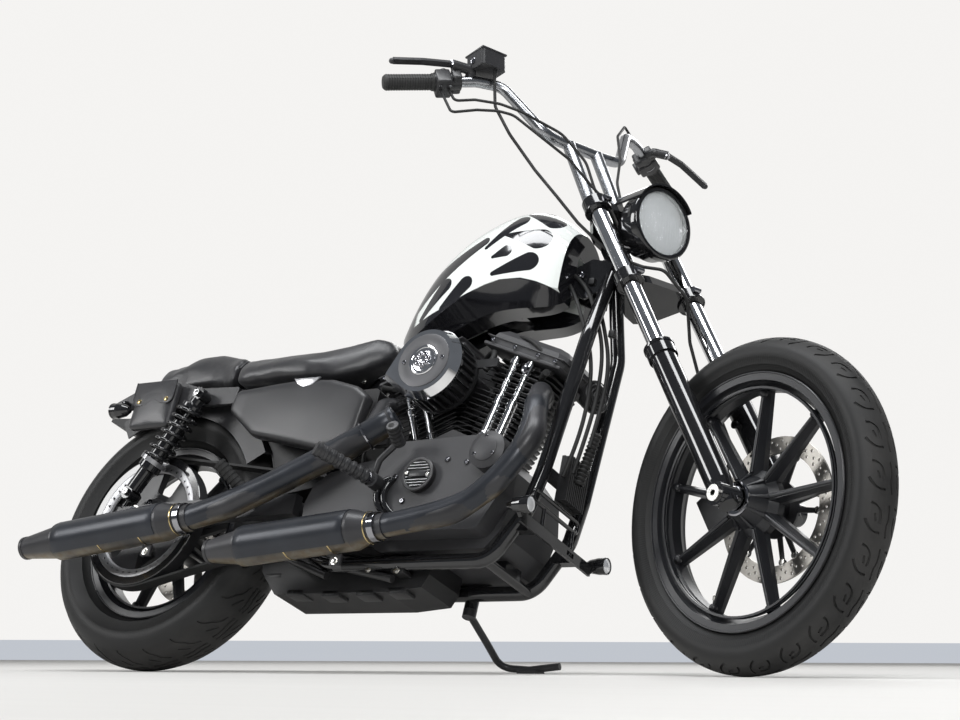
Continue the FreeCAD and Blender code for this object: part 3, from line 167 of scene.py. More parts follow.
def block(x, y, z):
    deselect()
    middle = spot(sum(x) / 2, sum(y) / 2, sum(z) / 2)
    bpy.ops.mesh.primitive_cube_add(size=1, location=middle)
    bpy.context.object.scale = spot(x[1] - x[0], y[1] - y[0], z[1] - z[0])
    bpy.ops.object.transform_apply()
    return bpy.context.object


def ball(centre, radius, segments=20):
    deselect()
    bpy.ops.mesh.primitive_uv_sphere_add(segments=segments, ring_count=segments // 2, radius=radius * mm,
                                         location=centre)
    bpy.ops.object.transform_apply()
    return bpy.context.object


def lathe(profile, origin, direction, sides=48, closed=False):
    deselect()
    radius, height = profile[0]
    firstRadius = max(radius, 0.02)
    bpy.ops.mesh.primitive_circle_add(vertices=sides, radius=firstRadius * mm, location=(0, 0, height * mm))
    bpy.ops.object.transform_apply()
    piece = bpy.context.object
    edit(piece)
    now, level = firstRadius, height
    for radius, height in profile[1:]:
        size = max(radius, 0.02)
        bpy.ops.mesh.extrude_region_move(TRANSFORM_OT_translate={"value": (0, 0, (height - level) * mm)})
        grow = size / now
        bpy.ops.transform.resize(value=(grow, grow, 1), center_override=(0, 0, height * mm))
        now, level = size, height
    bpy.ops.mesh.select_all(action="DESELECT")
    bpy.ops.mesh.select_mode(type="EDGE")
    bpy.ops.mesh.select_non_manifold()
    if closed:
        bpy.ops.mesh.bridge_edge_loops()
    else:
        bpy.ops.mesh.edge_face_add()
    bpy.ops.mesh.select_mode(type="VERT")
    bpy.ops.mesh.select_all(action="SELECT")
    bpy.ops.mesh.normals_make_consistent(inside=False)
    done(piece)
    return placed(piece, facing(origin, direction))


def slab(outline, y0, y1):
    deselect()
    bpy.ops.mesh.primitive_circle_add(vertices=len(outline), radius=mm, fill_type="NGON")
    piece = bpy.context.object
    for corner, (x, z) in zip(piece.data.vertices, outline):
        corner.co = spot(x, y0, z)
    edit(piece)
    bpy.ops.mesh.extrude_region_move(TRANSFORM_OT_translate={"value": (0, (y1 - y0) * mm, 0)})
    bpy.ops.mesh.select_all(action="SELECT")
    bpy.ops.mesh.normals_make_consistent(inside=False)
    return done(piece)


def wire(points, radius, sides=4, steps=6, radii=None):
    deselect()
    bpy.ops.curve.primitive_nurbs_path_add()
    curve = bpy.context.object
    curve.data.splines.clear()
    spline = curve.data.splines.new("NURBS")
    spline.points.add(len(points) - 1)
    for i, point in enumerate(points):
        spline.points[i].co = (*point, 1)
        if radii:
            spline.points[i].radius = radii[i]
    spline.order_u = 3
    spline.use_endpoint_u = True
    spline.resolution_u = steps
    curve.data.bevel_depth = radius * mm
    curve.data.bevel_resolution = sides
    curve.data.use_fill_caps = True
    return curve


def meshed(curve):
    pick(curve)
    bpy.ops.object.convert(target="MESH")
    piece = bpy.context.object
    edit(piece)
    bpy.ops.mesh.remove_doubles(threshold=0.00001)
    bpy.ops.mesh.normals_make_consistent(inside=False)
    return done(piece)


def bar(points, radius, sides=5, steps=8):
    return meshed(wire(points, radius, sides, steps))


def joined(pieces):
    deselect()
    for piece in pieces:
        piece.select_set(True)
    bpy.context.view_layer.objects.active = pieces[0]
    if len(pieces) > 1:
        bpy.ops.object.join()
    return bpy.context.view_layer.objects.active


def modified(piece, kind, **settings):
    pick(piece)
    modifier = piece.modifiers.new(kind.lower(), kind)
    for key, value in settings.items():
        setattr(modifier, key, value)
    bpy.ops.object.modifier_apply(modifier=modifier.name)
    return piece


def softened(piece, width, segments=2, angle=35.0):
    return modified(piece, "BEVEL", width=width * mm, segments=segments, limit_method="ANGLE",
                    angle_limit=math.radians(angle), harden_normals=False)


def carved(piece, cutter):
    modified(piece, "BOOLEAN", operation="DIFFERENCE", object=cutter, solver="EXACT")
    bpy.data.objects.remove(cutter)
    return piece


def copied(piece, matrix):
    twin = bpy.data.objects.new(piece.name, piece.data.copy())
    scene.collection.objects.link(twin)
    twin.data.transform(matrix)
    if matrix.determinant() < 0:
        edit(twin)
        bpy.ops.mesh.flip_normals()
        done(twin)
    return twin


def spread(piece, matrices):
    twins = [copied(piece, matrix) for matrix in matrices]
    bpy.data.objects.remove(piece)
    return joined(twins)


def dropFaces(piece, indices, kind):
    edit(piece, False)
    bpy.ops.mesh.select_mode(type="FACE")
    done(piece)
    for index in indices:
        piece.data.polygons[index].select = True
    bpy.ops.object.mode_set(mode="EDIT")
    bpy.ops.mesh.delete(type=kind)
    bpy.ops.mesh.select_mode(type="VERT")
    return done(piece)


def settled(piece, name, body, material, stands=(), smooth=35.0):
    piece.name = name
    piece.data.name = name
    piece.data.transform(bodyMatrix[body])
    piece.data.materials.clear()
    piece.data.materials.append(material)
    pick(piece)
    bpy.ops.object.shade_smooth_by_angle(angle=math.radians(smooth))
    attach(piece, body)
    if stands:
        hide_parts(*stands)
    return piece


# finishes: sockets are wrapped so that shader maths reads as plain sums
class Value:
    def __init__(self, finish, socket):
        self.finish = finish
        self.socket = socket

    def __add__(self, other):
        return self.finish.maths("ADD", self, other)

    def __sub__(self, other):
        return self.finish.maths("SUBTRACT", self, other)

    def __rsub__(self, other):
        return self.finish.maths("SUBTRACT", other, self)

    def __mul__(self, other):
        return self.finish.maths("MULTIPLY", self, other)

    def __truediv__(self, other):
        return self.finish.maths("DIVIDE", self, other)

    def clamped(self):
        return self.finish.maths("MAXIMUM", self.finish.maths("MINIMUM", self, 1.0), 0.0)

    def step(self, low, high):
        return self.finish.add("ShaderNodeMapRange", {"interpolation_type": "SMOOTHSTEP"},
                               {"Value": self, "From Min": low, "From Max": high}, "Result")


class Finish:
    def __init__(self, name, space=None):
        self.material = bpy.data.materials.new(name)
        self.material.use_nodes = True
        self.tree = self.material.node_tree
        self.tree.nodes.clear()
        self.output = self.tree.nodes.new("ShaderNodeOutputMaterial")
        self.coords = self.add("ShaderNodeTexCoord", out="Object")
        if space is not None:
            self.coords = self.add("ShaderNodeMapping", {"vector_type": "TEXTURE"},
                                   {"Vector": self.coords, "Location": space.to_translation(),
                                    "Rotation": space.to_euler()}, "Vector")

    def add(self, kind, settings=(), values=(), out=0):
        node = self.tree.nodes.new(kind)
        for key, value in dict(settings).items():
            if key == "stops":
                while len(node.color_ramp.elements) < len(value):
                    node.color_ramp.elements.new(0.5)
                for element, (place, colour) in zip(node.color_ramp.elements, value):
                    element.position = place
                    element.color = colour
            else:
                setattr(node, key, value)
        for key, value in dict(values).items():
            if isinstance(value, Value):
                self.tree.links.new(value.socket, node.inputs[key])
            else:
                node.inputs[key].default_value = value
        return Value(self, node.outputs[out])

    def maths(self, operation, first, second=None):
        values = {i: v for i, v in enumerate((first, second)) if v is not None}
        return self.add("ShaderNodeMath", {"operation": operation}, values)

    def parts(self, vector=None):
        split = self.add("ShaderNodeSeparateXYZ", (), {0: vector or self.coords})
        outs = split.socket.node.outputs
        return [Value(self, outs[i]) for i in range(3)]

    def fromAxle(self, centre):
        x, z = self.parts()[::2]
        dx = x - centre.x
        dz = z - centre.z
        return dx, dz, self.maths("SQRT", dx * dx + dz * dz)

    def normalParts(self):
        return self.parts(self.add("ShaderNodeNewGeometry", out="Normal"))

    def noise(self, scale, detail=2.0, vector=None, rough=0.5):
        return self.add("ShaderNodeTexNoise", (), {"Vector": vector or self.coords, "Scale": scale,
                "Detail": detail,
                                                   "Roughness": rough}, 0)

    def mix(self, share, first, second):
        node = self.tree.nodes.new("ShaderNodeMix")
        node.data_type = "RGBA"
        for index, value in ((0, share), (6, first), (7, second)):
            if isinstance(value, Value):
                self.tree.links.new(value.socket, node.inputs[index])
            else:
                node.inputs[index].default_value = (*value, 1.0) if index else value
        return Value(self, node.outputs[2])

    def bump(self, height, distance, strength=1.0, over=None):
        values = {"Height": height, "Distance": distance * mm, "Strength": strength}
        if over is not None:
            values["Normal"] = over
        return self.add("ShaderNodeBump", (), values)

    def surface(self, colour, roughness, metallic=0.0, normal=None, **fixed):
        values = {"Base Color": colour if isinstance(colour, Value) else (*colour, 1.0),
                  "Roughness": roughness, "Metallic": metallic}
        if normal is not None:
            values["Normal"] = normal
        values.update({key.replace("_", " "): value for key, value in fixed.items()})
        shader = self.add("ShaderNodeBsdfPrincipled", (), values)
        self.tree.links.new(shader.socket, self.output.inputs["Surface"])
        return self.material


def glossPaint(name, colour, roughness=0.1, peel=0.35):
    f = Finish(name)
    smear = f.noise(9.0, 4.0)
    haze = f.noise(160.0, 2.0).step(0.45, 0.75)
    tone = f.mix(haze * 0.25, colour, [c * 1.35 + 0.004 for c in colour])
    peelBump = f.bump(f.noise(420.0, 1.0), 0.02, peel)
    return f.surface(tone, smear * 0.09 + (roughness - 0.045) + haze * 0.02, 0.0, peelBump,
                     Coat_Weight=0.5, Coat_Roughness=0.04, Specular_IOR_Level=0.5)


def satinPaint(name, colour, roughness=0.42, grainScale=900.0, grain=0.05, metallic=0.0):
    f = Finish(name)
    cloud = f.noise(14.0, 4.0)
    speck = f.noise(grainScale, 2.0)
    tone = f.mix(cloud.step(0.3, 0.75) * 0.5, [c * 0.85 for c in colour], [c * 1.3 for c in colour])
    return f.surface(tone, cloud * 0.12 + (roughness - 0.06) + speck * 0.03, metallic,
                     f.bump(speck, grain, 0.6))


def brightMetal(name, colour, roughness=0.05, smudge=0.06):
    f = Finish(name)
    cloud = f.noise(26.0, 5.0)
    scratch = f.noise(900.0, 2.0)
    tone = f.mix(cloud.step(0.35, 0.7), [c * 0.94 for c in colour], colour)
    return f.surface(tone, cloud * smudge + roughness * 0.6 + scratch * 0.02, 1.0,
                     f.bump(scratch, 0.004, 0.3))


def brushedMetal(name, colour, roughness=0.3, stretch=(1.0, 1.0, 18.0), space=None):
    f = Finish(name, space)
    lines = f.add("ShaderNodeMapping", (), {"Vector": f.coords, "Scale": stretch}, "Vector")
    grain = f.noise(120.0, 3.0, lines)
    cloud = f.noise(20.0, 3.0)
    tone = f.mix(grain, [c * 0.72 for c in colour], colour)
    return f.surface(tone, grain * 0.16 + cloud * 0.08 + (roughness - 0.12), 1.0, f.bump(grain, 0.01, 0.5))


def rubberLook(name, colour=(0.012, 0.012, 0.012), roughness=0.62, shine=0.35):
    f = Finish(name)
    grain = f.noise(800.0, 3.0)
    cloud = f.noise(11.0, 4.0)
    tone = f.mix(cloud.step(0.35, 0.7), colour, [c * 1.9 + 0.003 for c in colour])
    return f.surface(tone, cloud * 0.2 + (roughness - 0.1), 0.0, f.bump(grain, 0.06, 0.5),
                     Specular_IOR_Level=shine)


def exhaustLook():
    # satin black sprayed on steel that has taken a straw tint underneath
    f = Finish("exhaustBlack")
    up = f.normalParts()[2]
    cloud = f.noise(7.0, 5.0)
    streak = f.noise(60.0, 3.0)
    under = (1.0 - (up + cloud * 0.35).step(-0.72, -0.34)) * cloud.step(0.28, 0.62)
    black = f.mix(cloud.step(0.35, 0.7), (0.022, 0.022, 0.024), (0.04, 0.04, 0.044))
    straw = f.mix(streak.step(0.35, 0.65), (0.26, 0.19, 0.10), (0.33, 0.29, 0.21))
    tone = f.mix(under * 0.6, black, straw)
    return f.surface(tone, streak * 0.08 + 0.30 + cloud * 0.08, under * 0.5 + 0.12,
                     f.bump(f.noise(1100.0, 2.0), 0.03, 0.5))


def tyreLook(name, space, centre, radius):
    # sidewalls with fine moulded rings, tread scuffed a little greyer
    f = Finish(name, space)
    dx, dz, distance = f.fromAxle(centre)
    angle = f.maths("ARCTAN2", dz, dx)
    cloud = f.noise(9.0, 5.0)
    grain = f.noise(700.0, 3.0)
    tread = distance.step(radius - 0.030, radius - 0.012)
    wall = 1.0 - distance.step(radius - 0.040, radius - 0.028)
    rings = f.maths("SINE", distance * 2400.0).step(0.2, 0.9) * wall
    band = distance.step(radius - 0.068, radius - 0.066) * (1.0 - distance.step(radius - 0.046,
            radius - 0.044))
    ribs = f.maths("SINE", angle * 360.0).step(-0.2, 0.6) * band
    height = rings * 0.25 + ribs * 0.45 + grain * 0.16
    tone = f.mix(tread * cloud.step(0.3, 0.7), (0.011, 0.011, 0.011), (0.032, 0.031, 0.030))
    return f.surface(tone, cloud * 0.14 + 0.46 + tread * 0.12, 0.0, f.bump(height, 0.5, 0.6),
                     Specular_IOR_Level=0.42)


def leatherLook(name, colour=(0.017, 0.017, 0.019), pores=340.0):
    f = Finish(name)
    cells = f.add("ShaderNodeTexVoronoi", {"feature": "DISTANCE_TO_EDGE"},
                  {"Vector": f.coords, "Scale": pores}, "Distance")
    crease = f.noise(22.0, 6.0, rough=0.62)
    grain = cells.step(0.0, 0.16)
    worn = f.noise(5.0, 3.0).step(0.45, 0.75)
    tone = f.mix(worn * 0.6 + grain * 0.2, colour, [c * 1.7 + 0.006 for c in colour])
    normal = f.bump(grain, 0.09, 0.7, f.bump(crease, 0.9, 0.35))
    return f.surface(tone, worn * 0.08 + 0.36 - grain * 0.05, 0.0, normal, Sheen_Weight=0.08,
                     Specular_IOR_Level=0.55)


def discLook(name, space, centre):
    # rings of turning marks round the wheel's axis
    f = Finish(name, space)
    distance = f.fromAxle(centre)[2]
    marks = f.noise(1.0, 2.0, f.add("ShaderNodeCombineXYZ", (), {0: distance * 3000.0, 1: 0.0, 2: 0.0}))
    cloud = f.noise(30.0, 4.0)
    tone = f.mix(marks * 0.6 + cloud * 0.3, (0.20, 0.19, 0.17), (0.46, 0.44, 0.41))
    return f.surface(tone, marks * 0.12 + 0.26 + cloud * 0.08, 0.92, f.bump(marks, 0.02, 0.5))


def clearGlass(name, roughness=0.02, tint=(0.96, 0.97, 0.98)):
    f = Finish(name)
    smear = f.noise(60.0, 3.0)
    return f.surface(tint, smear * 0.02 + roughness, 0.0, f.bump(smear, 0.01, 0.2), Transmission_Weight=1.0,
                     IOR=1.45)


glossBlack = glossPaint("glossBlack", (0.009, 0.009, 0.010))
satinBlack = satinPaint("satinBlack", (0.028, 0.028, 0.030), 0.36)
coverGrey = satinPaint("coverGrey", (0.040, 0.040, 0.043), 0.47, 700.0, 0.09)
engineBlack = satinPaint("engineBlack", (0.014, 0.014, 0.015), 0.4, 600.0, 0.08)
wheelBlack = satinPaint("wheelBlack", (0.013, 0.0135, 0.016), 0.33, 900.0, 0.04)
plasticBlack = satinPaint("plasticBlack", (0.012, 0.012, 0.013), 0.5, 500.0, 0.1)
chrome = brightMetal("chrome", (0.80, 0.80, 0.81))
darkChrome = brightMetal("darkChrome", (0.34, 0.34, 0.36), 0.09)
steel = brushedMetal("steel", (0.56, 0.56, 0.57))
handleSteel = brushedMetal("handleSteel", (0.42, 0.43, 0.45), 0.24)
castAluminium = satinPaint("castAluminium", (0.42, 0.42, 0.43), 0.42, 500.0, 0.08, 1.0)
zinc = brightMetal("zinc", (0.62, 0.61, 0.58), 0.22, 0.2)
brass = brightMetal("brass", (0.56, 0.44, 0.22), 0.24, 0.2)
rubber = rubberLook("rubber")
gripRubber = rubberLook("gripRubber", (0.014, 0.014, 0.014), 0.55, 0.4)
frontTyre = tyreLook("frontTyre", forkMatrix, frontAxle, rest["frontRadius"] * mm)
rearTyre = tyreLook("rearTyre", bikeMatrix, rearAxle, rest["rearRadius"] * mm)
leather = leatherLook("leather")
frontDiscSteel = discLook("frontDiscSteel", forkMatrix, frontAxle)
rearDiscSteel = discLook("rearDiscSteel", bikeMatrix, rearAxle)
exhaustBlack = exhaustLook()
glass = clearGlass("glass")
print("finishes made")


# studio: pale wall with a grey skirting, pale floor, soft lamps
studio = {"wallDistance": 14.2, "skirtingTop": 0.147, "wallColour": (0.90, 0.895, 0.88),
          "floorColour": (0.66, 0.65, 0.63),
          "skirtingColour": (0.52, 0.55, 0.60)}


def stageFinish(name, colour, roughness, shown=None, warp=0.0):
    # lit plainly, and brightened for the camera and for mirrors by shown
    f = Finish(name)
    cloud = f.noise(0.9, 4.0)
    streak = f.noise(3.0, 5.0, f.add("ShaderNodeMapping", (),
                                     {"Vector": f.coords, "Scale": (0.25, 3.0, 1.0)}, "Vector"))
    tone = f.mix(cloud * 0.25 + streak * warp, colour, [c * 0.86 for c in colour])
    shader = f.add("ShaderNodeBsdfPrincipled", (), {"Base Color": tone, "Roughness": roughness,
                                                    "Specular IOR Level": 0.2})
    if shown:
        glow = f.add("ShaderNodeEmission", (), {"Color": (*shown, 1.0), "Strength": 1.0})
        seen = f.add("ShaderNodeLightPath", out="Is Camera Ray") + f.add("ShaderNodeLightPath",
                out="Is Glossy Ray") * 0.3
        mixed = f.add("ShaderNodeMixShader", (), {0: seen.clamped(), 1: shader, 2: glow})
        f.tree.links.new(mixed.socket, f.output.inputs["Surface"])
    else:
        f.tree.links.new(shader.socket, f.output.inputs["Surface"])
    return f.material


def buildStudio():
    ahead = Vector((-math.sin(math.radians(view["azimuth"])), math.cos(math.radians(view["azimuth"])), 0))
    foot = Vector(view["place"])
    foot.z = 0
    foot += ahead * studio["wallDistance"]
    deselect()
    bpy.ops.mesh.primitive_plane_add(size=60, location=(0, 0, 0))
    floor = bpy.context.object
    floor.name = "floor"
    floor.data.materials.append(stageFinish("floorPaint", studio["floorColour"], 0.55, None, 0.5))
    for name, low, high, colour, shown in (
            ("wall", studio["skirtingTop"], 22.0, studio["wallColour"], (0.91, 0.90, 0.885)),
            ("skirting", 0.0, studio["skirtingTop"], studio["skirtingColour"], (0.53, 0.56, 0.61))):
        deselect()
        bpy.ops.mesh.primitive_plane_add(size=1)
        wall = bpy.context.object
        wall.name = name
        wall.scale = (44.0, high - low, 1.0)
        wall.rotation_euler = (math.radians(90), 0, math.radians(view["azimuth"]))
        wall.location = foot + Vector((0, 0, (low + high) / 2))
        wall.data.materials.append(stageFinish(name + "Paint", colour, 0.6, shown))


def addLamp(name, place, target, size, watts, colour=(1, 1, 1)):
    data = bpy.data.lights.new(name, "AREA")
    data.shape = "RECTANGLE"
    data.size, data.size_y = size
    data.energy = watts
    data.color = colour
    lamp = bpy.data.objects.new(name, data)
    scene.collection.objects.link(lamp)
    lamp.location = place
    lamp.rotation_mode = "QUATERNION"
    lamp.rotation_quaternion = (Vector(target) - Vector(place)).to_track_quat("-Z", "Y")


def lightStudio():
    addLamp("overhead", (0.3, -0.9, 4.2), (0.1, 0, 0.5), (4.4, 1.0), 150, (0.97, 0.985, 1.0))
    addLamp("frontSoftbox", (2.7, -5.0, 3.3), (0.2, 0, 0.6), (1.1, 2.2), 130)
    addLamp("rearSoftbox", (-3.8, -3.4, 2.6), (-0.2, 0, 0.5), (1.4, 2.0), 90)
    addLamp("farSide", (-0.6, 4.6, 3.4), (0, 0, 0.6), (4.2, 1.2), 90)
    world = bpy.data.worlds.new("studio")
    scene.world = world
    world.use_nodes = True
    tree = world.node_tree
    rays = tree.nodes.new("ShaderNodeLightPath")

    def sky(node, colour, strength):
        node.inputs["Color"].default_value = (*colour, 1)
        node.inputs["Strength"].default_value = strength
        return node.outputs[0]

    def either(ray, first, second):
        blend = tree.nodes.new("ShaderNodeMixShader")
        for i, socket in enumerate((rays.outputs[ray], first, second)):
            tree.links.new(socket, blend.inputs[i])
        return blend.outputs[0]

    lit = sky(tree.nodes["Background"], (0.93, 0.94, 0.96), 0.42)
    seen = sky(tree.nodes.new("ShaderNodeBackground"), (0.93, 0.925, 0.91), 1.0)
    mirrored = sky(tree.nodes.new("ShaderNodeBackground"), (0.80, 0.86, 0.95), 0.16)
    shown = either("Is Camera Ray", either("Is Glossy Ray", lit, mirrored), seen)
    tree.links.new(shown, tree.nodes["World Output"].inputs["Surface"])
    scene.view_settings.view_transform = "Standard"


buildStudio()
lightStudio()
print("studio ready")

# first finish of every CAD node; the tank is painted over below
nodeFinish = (
    (glossBlack, "frame_tubes fuel_tank shocks shock_springs indicator_bracket indicators fork_sliders"
                 " upper_clamp lower_clamp headlamp_bucket headlamp_visor"),
    (satinBlack, "swingarm side_cover_right side_cover_left rear_fender fender_struts foot_controls"
                 " rear_caliper hand_controls front_caliper rear_pulley side_stand"),
    (coverGrey, "crankcase rocker_cover_front rocker_cover_rear cam_cover sprocket_cover primary_cover"),
    (engineBlack, "cylinder_front cylinder_rear timer_cover intake_body air_filter regulator"),
    (plasticBlack, "belly_pan battery_case horn tail_bracket"),
    (rubber, "drive_belt passenger_pegs control_cables brake_hose"),
    (chrome, "pushrod_tubes air_cleaner_cover fork_tubes"),
    (leather, "seat tool_pouch"),
    (exhaustBlack, "exhaust_front exhaust_rear"),
    (zinc, "rear_axle front_axle"),
    (wheelBlack, "front_rim rear_rim"),
    (handleSteel, "handlebar"),
    (gripRubber, "grips"),
    (glass, "headlamp_lens"),
    (frontTyre, "front_tyre"),
    (rearTyre, "rear_tyre"),
    (frontDiscSteel, "front_disc"),
    (rearDiscSteel, "rear_disc"),
)
for finish, nodeNames in nodeFinish:
    for nodeName in nodeNames.split():
        mesh = nodes[nodeName].data
        mesh.materials.clear()
        mesh.materials.append(finish)
print("CAD nodes finished")


# tank paint: off-white flames over gloss black, laid out on the upright motorcycle
flames = {
    # head, tail, head radius, tail radius: black lobes left inside the white
    "lobes": [
        ((956, 80, 1012), (886, 84, 1044), 20, 5),
        ((940, 106, 958), (852, 116, 976), 29, 3),
        ((930, 117, 896), (846, 124, 872), 24, 6),
        ((880, 104, 1018), (812, 116, 946), 18, 6),
        ((868, 122, 928), (838, 124, 916), 16, 5),
        ((800, 108, 966), (600, 64, 832), 13, 36),
        ((716, 112, 862), (656, 100, 792), 20, 8),
        ((777, 122, 856), (726, 118, 802), 19, 13),
        ((905, 46, 1062), (820, 52, 1052), 15, 4),
        ((812, 62, 1034), (700, 62, 968), 14, 5),
        ((968, 30, 1040), (905, 16, 1070), 13, 4),
    ],
    "lowerEdge": [(580, 770), (650, 785), (717, 802), (787, 831), (830, 847), (866, 856), (918, 856),
                  (955, 847), (1000, 831)],
    "white": (0.77, 0.80, 0.775),
    "black": (0.010, 0.010, 0.012),
}


def flamePaint():
    f = Finish("flamePaint", bikeMatrix)
    x, y, z = f.parts()
    across = f.maths("ABSOLUTE", y)
    black = None
    for head, tail, headRadius, tailRadius in flames["lobes"]:
        run = [(b - a) * mm for a, b in zip(head, tail)]
        length = sum(c * c for c in run)
        off = [value - start * mm for value, start in zip((x, across, z), head)]
        share = ((off[0] * run[0] + off[1] * run[1] + off[2] * run[2]) / length).clamped()
        rest = [value - share * step for value, step in zip(off, run)]
        away = f.maths("SQRT", rest[0] * rest[0] + rest[1] * rest[1] * 0.2 + rest[2] * rest[2])
        inside = 1.0 - (away - share * ((tailRadius - headRadius) * mm)).step((headRadius - 0.7) * mm,
                (headRadius + 0.7) * mm)
        black = inside if black is None else f.maths("MAXIMUM", black, inside)
    # black below a lower edge line traced along the tank, behind x = 0.63 m and on the forward end face
    low, high = flames["lowerEdge"][0][0], flames["lowerEdge"][-1][0]
    stops = [((px - low) / (high - low), ((pz - 700) / 200.0,) * 3 + (1,)) for px, pz in flames["lowerEdge"]]
    edge = f.add("ShaderNodeValToRGB", {"stops": stops}, {0: (x - low * mm) / ((high - low) * mm)})
    edge = edge * 0.2 + 0.7
    under = 1.0 - (z - edge).step(-0.0008, 0.0008)
    rear = 1.0 - x.step(0.628, 0.640)
    endFace = f.normalParts()[0].step(0.88, 0.93) * x.step(0.96, 0.97)
    black = f.maths("MAXIMUM", f.maths("MAXIMUM", black, under), f.maths("MAXIMUM", rear, endFace))
    tone = f.mix(black, flames["white"], flames["black"])
    smear = f.noise(9.0, 4.0)
    peel = f.bump(f.noise(380.0, 1.0), 0.02, 0.3)
    return f.surface(tone, smear * 0.07 + 0.07, 0.0, peel, Coat_Weight=0.7, Coat_Roughness=0.03)


def buildTank():
    nodes["fuel_tank"].data.materials[0] = flamePaint()
    base = spot(884, 0, 1072.5)
    tilt = Vector((0.02, 0, 1))
    cap = lathe([(31, -6), (31, 3.5), (29.5, 5.5), (24, 6.6), (23.2, 5.6), (22, 5.6), (21, 6.8), (0, 7.4)],
                base, tilt, 64)
    settled(softened(cap, 0.4), "filler_cap_v", "frame", darkChrome)
    ring = lathe([(36, -6), (36, 0.8), (34.5, 2.2), (31.4, 2.2), (31.4, -6)], base, tilt, 64)
    settled(ring, "filler_ring_v", "frame", glossBlack)
    print("tank painted")


buildTank()

mirrorSilver = satinPaint("mirrorSilver", (0.92, 0.93, 0.95), 0.14, metallic=0.6)

# headlamp: bright reflector, shielded bulb and a fluted lens
lampCentre = onFork(721, 80, 0)


def buildHeadlamp():
    centre = lampCentre
    bowl = [(70.4, -11), (62.6, -13.4)]
    for i in range(1, 13):
        radius = 61.0 - i * 4.9
        bowl.append((radius, -13.0 - 46.0 * (1 - (radius / 62.0) ** 2)))
    bowl += [(0, -60.5), (0, -61.5), (3, -61.4), (40, -58.6), (61.6, -14.6), (70.4, -11.8)]
    settled(lathe(bowl, centre, aheadWay, 72), "lamp_reflector_v", "fork", mirrorSilver, smooth=40)
    shield = lathe([(0, -22), (12, -24), (17, -28), (17, -30), (12, -26.5), (0, -24.5)], centre, aheadWay, 40)
    settled(shield, "lamp_shield_v", "fork", chrome)
    bulb = lathe([(0, -30), (6, -33), (8, -38), (8, -54), (6, -60), (0, -60)], centre, aheadWay, 32)
    settled(bulb, "lamp_bulb_v", "fork", glass)
    f = Finish("flutedGlass", forkMatrix)
    y, z = f.parts()[1:]
    flute = f.maths("ABSOLUTE", f.maths("SINE", y * 420.0))
    block = f.maths("SINE", z * 300.0) * 0.3
    lensGlass = f.surface((0.93, 0.97, 0.97), f.noise(50.0, 3.0) * 0.02 + 0.04, 0.0,
                          f.bump(flute + block, 2.2, 1.0),
                          Alpha=0.24, IOR=1.5)
    dome = [(0, -3), (40, -4.5), (64, -8), (70.2, -8.5), (70.2, 0), (66, 3.4), (56, 6.2), (40, 8.8),
            (20, 10.4), (0, 11)]
    settled(lathe(dome, centre, aheadWay, 96), "lamp_lens_v", "fork", lensGlass,
            ("headlamp_lens",), 50)
    rim = lathe([(82.2, -17), (82.2, -2.5), (80.5, 1.4), (76.5, 3.2), (72.2, 2.6), (71.2, -6), (74, -14)],
                centre, aheadWay, 96, True)
    settled(rim, "lamp_rim_v", "fork", glossBlack, smooth=45)
    print("headlamp built")


buildHeadlamp()


# tyres: one moulded stretch of tread, cut with grooves and copied round the wheel
tyres = {
    "front": {
        "body": "front_wheel", "radius": 331.0, "crown": 52.0, "bead": 241.6, "half": 34.0, "width": 50.0,
        "units": 26,
        "centre": frontAxle, "finish": frontTyre, "node": "front_tyre",
        # grooves in one unit of tread: points as (turn in degrees, distance across), then radius
        "grooves": [
            ([(-5.4, 2), (-2.2, -3), (1.2, 3), (4.9, -2)], 2.6),
            ([(-5.0, 35), (-4.4, 14), (1.4, 17)], 2.9),
            ([(0.6, 40), (4.8, 31), (4.2, 13)], 2.9),
            ([(-1.6, 27), (0.8, 24)], 2.2),
            ([(5.0, -35), (4.4, -14), (-1.4, -17)], 2.9),
            ([(-0.6, -40), (-4.8, -31), (-4.2, -13)], 2.9),
            ([(1.6, -27), (-0.8, -24)], 2.2),
        ],
    },
    "rear": {
        "body": "rear_wheel", "radius": 323.0, "crown": 82.0, "bead": 203.5, "half": 40.0, "width": 75.0,
        "units": 24,
        "centre": rearAxle, "finish": rearTyre, "node": "rear_tyre",
        "grooves": [
            ([(-5.8, 4), (-2.0, 8), (2.0, 4), (5.8, 8)], 2.8),
            ([(-5.8, -8), (-2.0, -4), (2.0, -8), (5.8, -4)], 2.8),
            ([(-4.8, 20), (-1.0, 26), (0.6, 38), (4.6, 48), (5.2, 58)], 2.7),
            ([(0.8, 18), (3.4, 26), (5.4, 32)], 2.2),
            ([(4.8, -20), (1.0, -26), (-0.6, -38), (-4.6, -48), (-5.2, -58)], 2.7),
            ([(-0.8, -18), (-3.4, -26), (-5.4, -32)], 2.2),
        ],
    },
}


